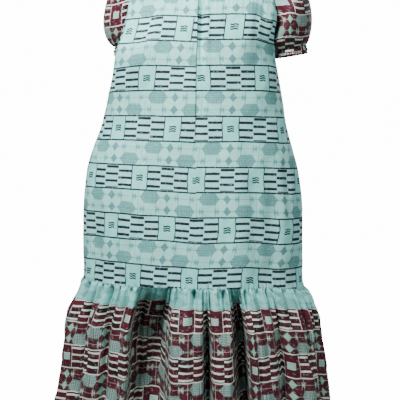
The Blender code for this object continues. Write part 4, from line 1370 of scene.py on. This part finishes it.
def bar_print():
    """The bands of short bars, with a cell for each repeat that holds three small strokes."""
    sizes = ("Bar half width", "Outer bars", "Middle bars", "Cell line")
    inputs = {"Cloth": "Vector", **dict.fromkeys(sizes, "Float")}
    names = ("Bars", "Cell", "Cell sides", "Strokes", "Patch")
    graph = Graph.group("bar bands", inputs, dict.fromkeys(names, "Float"))
    across, band, share = band_place(graph, graph.take("Cloth"))
    stagger = (((band + 1) / 2).floor() % 2) * (CHART_WIDTH / 2)
    x, y = across * (CHART_WIDTH / REPEAT) - stagger, share * CHART_HEIGHT
    from_cell = off(x, 0, CHART_WIDTH)
    into_block = (x - CELL_HALF_WIDTH) % CHART_WIDTH
    column = (into_block / BAR_COLUMN).floor()
    in_column = into_block - (column + 0.5) * BAR_COLUMN
    middle = graph.inside(abs(column - 1) - 0.5, 0.01)
    outer = graph.take("Outer bars")
    start = outer + (graph.take("Middle bars") - outer) * middle
    from_bar = off(y, start * CHART_HEIGHT, BAR_PITCH)
    bar = graph.box(from_bar, in_column, graph.take("Bar half width"), BAR_HALF_LENGTH)
    edge = graph.lowest(y - BAR_TOP, BAR_BOTTOM - y)
    block = abs(from_cell) - CELL_HALF_WIDTH
    stroke_y = y - GLYPH_ROW * CHART_HEIGHT
    wave = (from_cell * STROKE_WAVE.pace + STROKE_WAVE.start).sine() * STROKE_WAVE.height
    stroke = abs(off(stroke_y + wave, 0, STROKE_PITCH)) - STROKE_HALF_WIDTH
    glyph = graph.highest(stroke, graph.box(from_cell, stroke_y, *GLYPH_HALF))
    shown = {
        "Bars": graph.inside(bar) * graph.inside(0 - edge) * graph.inside(0 - block),
        "Cell": graph.inside(block),
        "Cell sides": graph.inside(abs(block) - graph.take("Cell line")),
        "Strokes": graph.inside(glyph),
        "Patch": graph.inside(graph.box(from_cell, stroke_y, *PATCH_HALF)),
    }
    in_bars = is_bar_band(band)
    return graph.give({name: value * in_bars for name, value in shown.items()})


def shape_print():
    """The bands of hexagons, diamonds, squares and discs that are strung on two thin lines."""
    names = ("Hexagons", "Dots", "Diamonds", "Squares", "Discs", "Net", "Bow ties")
    graph = Graph.group("shape bands", {"Cloth": "Vector"}, dict.fromkeys(names, "Float"))
    across, band, share = band_place(graph, graph.take("Cloth"))
    x, y = across * (CHART_WIDTH / REPEAT), share * CHART_HEIGHT
    upper, lower = y - UPPER_ROW * CHART_HEIGHT, y - LOWER_ROW * CHART_HEIGHT

    def strung(distance, step, size):
        """A shape on each thin line: left of the middle on the upper, right of it on the lower."""
        return graph.lowest(
            distance(off(x, -step, CHART_WIDTH), upper, *size),
            distance(off(x, step, CHART_WIDTH), lower, *size),
        )

    def bow_tie(place, row):
        place = abs(off(x, place, CHART_WIDTH))
        return graph.highest(place - BOW_HALF_WIDTH, abs(row) - place * BOW_SPREAD - BOW_WAIST)

    discs = (
        graph.disc(off(x, place, CHART_WIDTH), y - row * CHART_HEIGHT, radius)
        for place, radius in DISCS
        for row in (0.0, 0.5, 1.0)
    )
    bow_ties = (
        bow_tie(side * step, row) for side, row in ((1, upper), (-1, lower)) for step in BOW_STEPS
    )
    rungs = (abs(off(x, place, CHART_WIDTH)) for place in (-RUNG_STEP, RUNG_STEP, CHART_WIDTH / 2))
    shapes = {
        "Hexagons": strung(graph.hexagon, SHAPE_STEP, HEXAGON_HALF),
        "Diamonds": strung(graph.diamond, 0, DIAMOND_HALF),
        "Squares": strung(graph.box, -SHAPE_STEP, SQUARE_HALF),
        "Discs": graph.lowest(*discs),
        "Net": graph.lowest(abs(upper), abs(lower), *rungs) - NET_HALF_WIDTH,
        "Bow ties": graph.lowest(*bow_ties),
    }
    dots = ((x + y) * DOT_PITCH).sine() * ((x - y) * DOT_PITCH).sine()
    in_shapes = 1 - is_bar_band(band)
    shown = {name: graph.inside(distance) * in_shapes for name, distance in shapes.items()}
    return graph.give({"Dots": graph.ramp(dots, -0.1, 0.25), **shown})


def line_print():
    """The lines between the bands."""
    inputs = {"Cloth": "Vector", "Half width": "Float"}
    graph = Graph.group("band lines", inputs, {"Lines": "Float"})
    _, down, _ = graph.parts(graph.take("Cloth"))
    from_line = off(down * (CHART_HEIGHT / BAND), 0, CHART_HEIGHT)
    return graph.give({"Lines": graph.inside(abs(from_line) - graph.take("Half width"))})


def print_shares(graph, prints, cloth, bars, half_width):
    """How fully each shape of the prints covers a place on the cloth."""
    _, band, _ = band_place(graph, cloth)
    return {
        "Bar band": is_bar_band(band),
        **graph.use(prints["bars"], {"Cloth": cloth, **bars}),
        **graph.use(prints["shapes"], {"Cloth": cloth}),
        **graph.use(prints["lines"], {"Cloth": cloth, "Half width": half_width}),
    }


def mint_colour(prints, colours):
    """The mint cloth: dark lines and bars on pale mint, with the shapes in faint grey greens."""
    graph = Graph.group("mint print", {"Cloth": "Vector"}, {"Colour": "Color", "Ink": "Float"})
    cloth = graph.take("Cloth")
    bars = {"Bar half width": 1.34, "Outer bars": 0.25, "Middle bars": 0.10, "Cell line": 0.50}
    shown = print_shares(graph, prints, cloth, bars, half_width=0.80)
    wash = graph.ramp(graph.noise(cloth, MINT_WASH_SCALE, 3.0), 0.35, 0.68)
    dark = graph.highest(shown["Bars"], shown["Cell sides"], shown["Lines"])
    colour = graph.layered(
        graph.blend(wash, colours["mint"], colours["mint_light"]),
        (shown["Bar band"] * (1 - shown["Cell"]) * 0.40, LILAC),
        ((1 - shown["Bar band"]) * 0.5, MINT_SHAPE_GROUND),
        (shown["Discs"] * 0.32, MINT_PALE),
        (shown["Squares"] * 0.22, MINT_PALE),
        (shown["Net"] * 0.85, MINT_LINE),
        (shown["Bow ties"] * 0.65, colours["mint_grey"]),
        (shown["Diamonds"] * 0.85, colours["mint_grey"]),
        (shown["Hexagons"] * (shown["Dots"] * 0.5 + 0.46), colours["mint_grey"]),
        (shown["Strokes"], colours["mint_ink"]),
        (dark, colours["mint_ink"]),
    )
    return graph.give({"Colour": colour, "Ink": dark})


def border_colour(prints, colours):
    """The border cloth: off-white bars and lines on wine, with grey-green shapes."""
    graph = Graph.group("border print", {"Cloth": "Vector"}, {"Colour": "Color", "Ink": "Float"})
    cloth = graph.vector_math("ADD", graph.take("Cloth"), (0, -2 * BAND, 0))
    bars = {"Bar half width": 1.05, "Outer bars": 0.13, "Middle bars": 0.02, "Cell line": 0.42}
    shown = print_shares(graph, prints, cloth, bars, half_width=0.62)
    wash = graph.ramp(graph.noise(cloth, WINE_WASH_SCALE, 3.0), 0.3, 0.7)
    shade = graph.ramp(graph.noise(cloth, WINE_SHADE_SCALE, 1.0), 0.42, 0.62)
    wine = graph.blend(wash, colours["wine"], colours["wine_light"])
    behind_bars = shown["Bar band"] * (1 - shown["Cell"])
    pale = graph.highest(shown["Bars"], shown["Cell sides"] * 0.85, shown["Lines"])
    colour = graph.layered(
        wine,
        (behind_bars, graph.blend(shade * 0.75, wine, WINE_DARK)),
        (
            1 - shown["Bar band"],
            graph.blend(wash, colours["border_ground"], colours["border_ground_light"]),
        ),
        (shown["Squares"], wine),
        (shown["Discs"], wine),
        (shown["Bow ties"] * 0.5, colours["off_white"]),
        (shown["Diamonds"] * 0.9, colours["pale_green"]),
        (shown["Net"] * 0.5, colours["off_white"]),
        (shown["Hexagons"], graph.blend(shown["Dots"], HEXAGON_GREY, HEXAGON_PALE)),
        (shown["Patch"], PATCH),
        (shown["Strokes"] * 0.6, PATCH_STROKES),
        (pale, colours["off_white"]),
    )
    return graph.give({"Colour": colour, "Ink": 1 - pale})


def cotton_surface():
    """Plain-woven cotton: its threads' height and the slight unevenness of their colour."""
    outputs = dict.fromkeys(("Height", "Shade", "Roughness"), "Float")
    graph = Graph.group("woven cotton", {"Cloth": "Vector", "Thread": "Float"}, outputs)
    across, down, _ = graph.parts(graph.take("Cloth"))
    thread = graph.take("Thread")
    warp, weft = across / thread, down / thread
    over = graph.ramp((warp * 0.5).sine() * (weft * 0.5).sine(), -0.2, 0.2)
    weave = over * abs(warp.sine()) + (1 - over) * abs(weft.sine())
    slub = graph.noise(graph.joined(across * SLUB_STRETCH, down), SLUB_SCALE)
    cross_slub = graph.noise(graph.joined(across, down * SLUB_STRETCH), SLUB_SCALE)
    return graph.give({
        "Height": weave * 0.7 + slub * 0.5 + cross_slub * 0.5,
        "Shade": 0.90 + 0.10 * slub + 0.10 * cross_slub,
        "Roughness": 0.78 - weave * 0.10,
    })


def wax_marks():
    """The fine veins and blotches that the wax leaves, and the wander of the printed edges."""
    outputs = {"Veins": "Float", "Blotches": "Float", "Wandered": "Vector"}
    graph = Graph.group("wax marks", {"Cloth": "Vector"}, outputs)
    cloth = graph.take("Cloth")
    sway = graph.noise(cloth, SWAY_SCALE, output="Color")
    sway = graph.vector_math("SUBTRACT", sway, (0.5, 0.5, 0.5))
    moved = graph.vector_math("MULTIPLY_ADD", sway, (INK_WANDER,) * 3, cloth)
    cells = graph.node(
        "ShaderNodeTexVoronoi", "Distance", {"Vector": moved, "Scale": VEIN_SCALE},
        feature="DISTANCE_TO_EDGE",
    )
    patchy = graph.ramp(graph.noise(cloth, PATCHY_SCALE, 1.0), 0.45, 0.65)
    return graph.give({
        "Veins": graph.ramp(cells, 0.0, 0.035, 1.0, 0.0) * patchy,
        "Blotches": graph.ramp(graph.noise(cloth, BLOTCH_SCALE), 0.55, 0.75),
        "Wandered": moved,
    })


def new_material(name, view_colour):
    """The graph that builds a material, and the shader that the graph feeds."""
    material = bpy.data.materials.new(name)
    material.use_nodes = True
    material.diffuse_color = view_colour
    return Graph(material.node_tree), material.node_tree.nodes["Principled BSDF"]


def cloth_material(name, groups, colour_group, view_colour, border=None):
    """Printed cotton. A second colour group, if any, takes over below the border's first line."""
    graph, shader = new_material(name, view_colour)
    cloth = graph.node("ShaderNodeUVMap", "UV", uv_map=CLOTH_MAP)
    marks = graph.use(groups["wax"], {"Cloth": cloth})
    threads = graph.use(groups["cotton"], {"Cloth": cloth, "Thread": THREAD / math.tau})
    printed = graph.use(groups[colour_group], {"Cloth": marks["Wandered"]})
    colour, ink = printed["Colour"], printed["Ink"]
    if border:
        _, down, _ = graph.parts(marks["Wandered"])
        below = graph.ramp(down, -BORDER_EDGE, BORDER_EDGE, 1.0, 0.0)
        bordered = graph.use(groups[border], {"Cloth": marks["Wandered"]})
        # Above the border the print fades into a darker mint: painted shade of the gathers in the
        # header
        colour = graph.layered(colour, (HEADER_FADE_TO_PAINTED_SHADE, HEADER_MINT_PAINTED_SHADE), (below, bordered["Colour"]))
        ink = ink + (bordered["Ink"] - ink) * below
    colour = graph.layered(
        colour, (marks["Veins"] * VEIN_SHARE, VEIN), (marks["Blotches"] * BLOTCH_SHARE, MINT_PALE)
    )
    shade = graph.joined(threads["Shade"], threads["Shade"], threads["Shade"])
    height = threads["Height"] + marks["Veins"] * 0.2
    bump = {"Strength": WEAVE_STRENGTH, "Distance": WEAVE_HEIGHT, "Height": height}
    graph.feed(shader, {
        "Base Color": graph.blend(1.0, colour, shade, mode="MULTIPLY"),
        "Roughness": threads["Roughness"] - ink * 0.06,
        "Normal": graph.node("ShaderNodeBump", "Normal", bump),
        "Sheen Weight": 0.03,
        "Sheen Roughness": 0.45,
        "Specular IOR Level": 0.22,
    })


def thread_material(name, colour):
    """Sewing thread: a twisted strand with a slight gloss, and a painted highlight along its
    strands' tops.
    """
    graph, shader = new_material(name, colour)
    place = graph.node("ShaderNodeTexCoord", "Object")
    x, y, z = graph.parts(place)
    twist = ((x + y + z) * TWIST_PITCH).sine()
    fuzz = graph.noise(place, FUZZ_SCALE, 1.0)
    # light is the thread's colour raised as a painted highlight on the strands' tops, with painted
    # shade between them
    light = tuple(min(1.0, value * THREAD_PAINTED_HIGHLIGHT) for value in colour)
    bump = {"Strength": 0.4, "Distance": 0.0001, "Height": twist}
    graph.feed(shader, {
        "Base Color": graph.blend(graph.ramp(twist + fuzz, -0.6, 1.4), colour, light),
        "Roughness": fuzz * 0.2 + 0.5,
        "Normal": graph.node("ShaderNodeBump", "Normal", bump),
    })


def seen_white(graph, strength):
    """A glow that only the camera sees: the studio looks white and gives off no more light."""
    return graph.node("ShaderNodeLightPath", "Is Camera Ray") * strength


def aim(thing, target):
    """Turns a light or the camera from where it stands towards a point."""
    thing.rotation_euler = (target - thing.location).to_track_quat("-Z", "Y").to_euler()


def make_floor(brightness):
    stage = bmesh.new()
    bmesh.ops.create_circle(stage, cap_ends=True, segments=FLOOR_SIDES, radius=FLOOR_RADIUS)
    bmesh.ops.translate(stage, verts=stage.verts, vec=(0, 0, FLOOR_Z))
    floor = placed("studio_floor", mesh_of("studio_floor", stage))
    graph, shader = new_material("studio_paper", FLOOR_COLOUR)
    grain = graph.noise(graph.node("ShaderNodeTexCoord", "Object"), FLOOR_GRAIN_SCALE, 3.0)
    graph.feed(shader, {
        "Base Color": graph.blend(grain, FLOOR_COLOUR, FLOOR_GRAIN),
        "Emission Color": BACKDROP_COLOUR,
        "Emission Strength": seen_white(graph, brightness),
        "Roughness": 0.9,
    })
    floor.data.materials.append(bpy.data.materials["studio_paper"])


def make_studio(studio):
    scene = bpy.context.scene
    world = scene.world or bpy.data.worlds.new("pale room")
    scene.world = world
    world.use_nodes = True
    room = Graph(world.node_tree)
    seen = seen_white(room, studio.backdrop - studio.sky)
    background = world.node_tree.nodes["Background"]
    room.feed(background, {"Color": ROOM_COLOUR, "Strength": seen + studio.sky})
    make_floor(studio.backdrop)

    for lamp in LAMPS:
        light = placed(lamp.name, bpy.data.lights.new(lamp.name, "AREA"))
        light.data.energy = getattr(studio, lamp.power)
        light.data.size = lamp.size
        light.location = lamp.place
        light.visible_camera = False
        aim(light, LIGHT_AIM)

    camera = placed("camera", bpy.data.cameras.new("camera"))
    camera.data.lens = studio.lens
    camera.data.sensor_width = SENSOR_WIDTH
    camera.location = (CAMERA_X, -studio.distance, CAMERA_Z)
    aim(camera, Vector((CAMERA_X, 0, AIM_Z)))
    scene.camera = camera


def colour_property(name, description, default):
    return FloatVectorProperty(
        name=name, description=description, subtype="COLOR", min=0.0, max=1.0, default=default[:3]
    )


def count_property(name, description, default, least):
    return IntProperty(name=name, description=description, default=default, min=least)


def size_property(name, description, default, unit="LENGTH", **limits):
    return FloatProperty(name=name, description=description, default=default, unit=unit, **limits)


class ClothSettings(bpy.types.PropertyGroup):
    """How finely the cloth is made, and how it was cut and worn."""

    wall: size_property(
        "Cloth thickness", "Thickness of every sheet of cotton", 0.0006, min=0.0002, max=0.0015
    )
    crumple: size_property(
        "Crumple", "Height of the uneven waves that wearing leaves", 0.00095, min=0.0, max=0.002
    )
    front_right_columns: count_property(
        "Front columns, right", "Grid columns from the right side seam to the pleat", 160, 20
    )
    front_left_columns: count_property(
        "Front columns, left", "Grid columns from the pleat to the left side seam", 146, 20
    )
    pleat_columns: count_property("Pleat columns", "Grid columns round the pleat's fold", 22, 10)
    body_rows: count_property("Body rows", "Grid rows from the yoke seam to the tier seam", 120, 40)
    back_columns: count_property("Back columns", "Grid columns across the back", 290, 40)
    yoke_columns: count_property("Yoke columns", "Grid columns across the front yoke", 150, 40)
    yoke_rows: count_property(
        "Yoke rows", "Grid rows from the neck and shoulders to the yoke's height", 36, 8
    )
    tier_columns: count_property(
        "Tier columns", "Grid columns across each half of the tier", 460, 80
    )
    tier_rows: count_property("Tier rows", "Grid rows from the tier seam to the hem", 92, 20)
    tier_flat_width: size_property(
        "Tier width", "Width to which each half of the tier was cut before gathering", 1.80, min=0.9
    )
    tier_print_offset: size_property(
        "Tier print offset", "How far the tier's print is moved along its cloth", -0.0875
    )
    sleeve_columns: count_property("Sleeve columns", "Grid columns round each sleeve", 240, 40)
    sleeve_rows: count_property("Sleeve rows", "Grid rows from the armhole to the cuff", 84, 16)
    sleeve_flat_width: size_property(
        "Sleeve width", "Width to which each sleeve was cut before gathering", 0.52, min=0.3
    )
    cuff_columns: count_property("Cuff columns", "Grid columns round each cuff", 280, 40)
    cuff_rows: count_property("Cuff rows", "Grid rows down each cuff", 16, 4)


class ColourSettings(bpy.types.PropertyGroup):
    """The colours of the two prints."""

    mint: colour_property("Mint", "Ground of the mint print", MINT)
    mint_light: colour_property("Light mint", "Paler washes in the mint ground", MINT_LIGHT)
    mint_grey: colour_property("Grey green", "Shapes in the mint print", MINT_GREY)
    mint_ink: colour_property("Teal ink", "Bars and lines in the mint print", TEAL_INK)
    wine: colour_property("Wine", "Ground of the border print", WINE)
    wine_light: colour_property("Light wine", "Paler washes in the wine ground", WINE_LIGHT)
    border_ground: colour_property(
        "Shape ground", "Ground behind the border's shapes", SHAPE_GROUND
    )
    border_ground_light: colour_property(
        "Light shape ground", "Paler washes behind the border's shapes", SHAPE_GROUND_LIGHT
    )
    off_white: colour_property("Off-white", "Bars and lines in the border print", OFF_WHITE)
    pale_green: colour_property("Pale green", "Diamonds in the border print", PALE_GREEN)
    thread: colour_property("Thread", "Stitching of the hem and the cuffs", WINE_THREAD)


class StudioSettings(bpy.types.PropertyGroup):
    """The camera and the studio's light."""

    lens: size_property("Lens", "Focal length of the camera", 96.0, unit="CAMERA", min=20.0)
    distance: size_property(
        "Camera distance", "How far in front of the dress's axis the camera stands", 3.2, min=1.0
    )
    key_power: size_property(
        "Key light", "Power of the soft light high in front on the left", 100.0, "POWER", min=0.0
    )
    fill_power: size_property(
        "Fill light", "Power of the softer light on the other side", 38.0, "POWER", min=0.0
    )
    back_power: size_property(
        "Back light", "Power of the soft light behind the dress", 60.0, "POWER", min=0.0
    )
    backdrop: size_property(
        "Backdrop", "How bright the floor and the room look", 15.0, "NONE", min=0.0
    )
    sky: size_property(
        "Room light", "Strength of the even light of the pale room", 0.11, "NONE", min=0.0
    )


def finished(piece, slot, *nodes):
    """The piece rides with the dress and stands for its solids, if any. Its slot is not used."""
    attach(piece, "root")
    if nodes:
        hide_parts(*nodes)
    return piece


def gathered_cloth(name, mesh, sewn, skin, wall, **cut):
    """A gathered piece of the border's cloth with the stitching along its rows in sewn."""
    piece = finished(cloth_piece(f"{name}_cloth", mesh, skin, wall), "border_print", name)
    if sewn:
        thread = stitches(f"{name}_stitches", sewn, "wine_thread")
        finished(thread, "border_print")


class MakeMaterials(bpy.types.Operator):
    """Make the two printed cottons and their sewing thread"""

    bl_idname = "dress.make_materials"
    bl_label = "Printed cotton"

    def execute(self, context):
        settings = context.scene.dress_colours
        names = type(settings).__annotations__
        colours = {name: (*getattr(settings, name), 1.0) for name in names}
        prints = {"bars": bar_print(), "shapes": shape_print(), "lines": line_print()}
        groups = {
            "mint": mint_colour(prints, colours), "border": border_colour(prints, colours),
            "cotton": cotton_surface(), "wax": wax_marks(),
        }
        cloth_material("mint_cotton", groups, "mint", colours["mint"])
        cloth_material("border_cotton", groups, "border", colours["wine"])
        cloth_material("tier_cotton", groups, "mint", colours["wine"], border="border")
        thread_material("wine_thread", colours["thread"])
        return {"FINISHED"}


class MakeBody(bpy.types.Operator):
    """Make the yoke, the pleated front and the back"""

    bl_idname = "dress.make_body"
    bl_label = "Body"

    def execute(self, context):
        settings = context.scene.dress_cloth
        for name, make, flat, area in (
            ("front_yoke", yoke_mesh, YOKE_CUT, YOKE_CUT_AREA),
            ("front_body", front_body_mesh, FRONT_CUT, FRONT_CUT_AREA),
            ("back_body", back_body_mesh, BACK_CUT, BACK_CUT_AREA),
        ):
            piece = cloth_piece(f"{name}_cloth", make(settings), "mint_cotton", settings.wall)
            finished(piece, "mint_print", name)
        return {"FINISHED"}


class MakeTier(bpy.types.Operator):
    """Make the two halves of the gathered tier and the stitching of their hem"""

    bl_idname = "dress.make_tier"
    bl_label = "Gathered tier"

    def execute(self, context):
        settings = context.scene.dress_cloth
        flat = (settings.tier_flat_width, TIER_CUT_LENGTH)
        for name, first, last in (("tier_front", -90, 90), ("tier_back", 90, 270)):
            mesh, sewn = tier_mesh(name, first, last, settings)
            gathered_cloth(name, mesh, sewn, "tier_cotton", settings.wall, flat=flat)
        return {"FINISHED"}


class MakeSleeves(bpy.types.Operator):
    """Make the puff sleeves and their elastic cuffs"""

    bl_idname = "dress.make_sleeves"
    bl_label = "Sleeves and cuffs"

    def execute(self, context):
        settings = context.scene.dress_cloth
        width = settings.sleeve_flat_width
        for side, sleeve in SLEEVES.items():
            length = SLEEVE_CUT_LENGTHS[side]
            for name, make, cut in (
                (
                    f"sleeve_{side}", sleeve_mesh,
                    {"flat": (width, length), "area": SLEEVE_CUT_SHARE * width * length},
                ),
                (f"cuff_{side}", cuff_mesh, {"flat": (width, CUFF_CUT_LENGTH)}),
            ):
                mesh, sewn = make(name, sleeve, settings, SLEEVE_PRINTS[side])
                gathered_cloth(name, mesh, sewn, "border_cotton", settings.wall, **cut)
        return {"FINISHED"}


class MakeBinding(bpy.types.Operator):
    """Make the strip that binds the neck edge"""

    bl_idname = "dress.make_binding"
    bl_label = "Neck binding"

    def execute(self, context):
        piece = cloth_piece("neck_binding_cloth", binding_mesh(), "border_cotton", BINDING_SHELL)
        finished(piece, "border_print", "neck_binding")
        return {"FINISHED"}


class MakeStudio(bpy.types.Operator):
    """Make the pale floor and backdrop, the soft lights and the camera"""

    bl_idname = "dress.make_studio"
    bl_label = "Studio"

    def execute(self, context):
        make_studio(context.scene.dress_studio)
        return {"FINISHED"}


class DressPanel(bpy.types.Panel):
    """The dress's pieces and settings"""

    bl_idname = "VIEW3D_PT_dress"
    bl_label = "Wax print dress"
    bl_space_type = "VIEW_3D"
    bl_region_type = "UI"
    bl_category = "Dress"

    def draw(self, context):
        for maker in MAKERS:
            self.layout.operator(maker.bl_idname)
        for group in SETTINGS:
            settings = getattr(context.scene, group)
            box = self.layout.box()
            for name in type(settings).__annotations__:
                box.prop(settings, name)


SETTINGS = {
    "dress_cloth": ClothSettings, "dress_colours": ColourSettings, "dress_studio": StudioSettings
}
MAKERS = (MakeMaterials, MakeBody, MakeTier, MakeSleeves, MakeBinding, MakeStudio)
CLASSES = (*SETTINGS.values(), *MAKERS, DressPanel)


def register():
    for kind in CLASSES:
        bpy.utils.register_class(kind)
    for name, group in SETTINGS.items():
        setattr(bpy.types.Scene, name, PointerProperty(type=group))


def unregister():
    for name in SETTINGS:
        delattr(bpy.types.Scene, name)
    for kind in reversed(CLASSES):
        bpy.utils.unregister_class(kind)


def main():
    register()
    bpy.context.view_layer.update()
    bpy.ops.dress.make_materials()
    bpy.ops.dress.make_body()
    bpy.ops.dress.make_tier()
    bpy.ops.dress.make_sleeves()
    bpy.ops.dress.make_binding()
    bpy.ops.dress.make_studio()


if __name__ == "__main__":
    main()
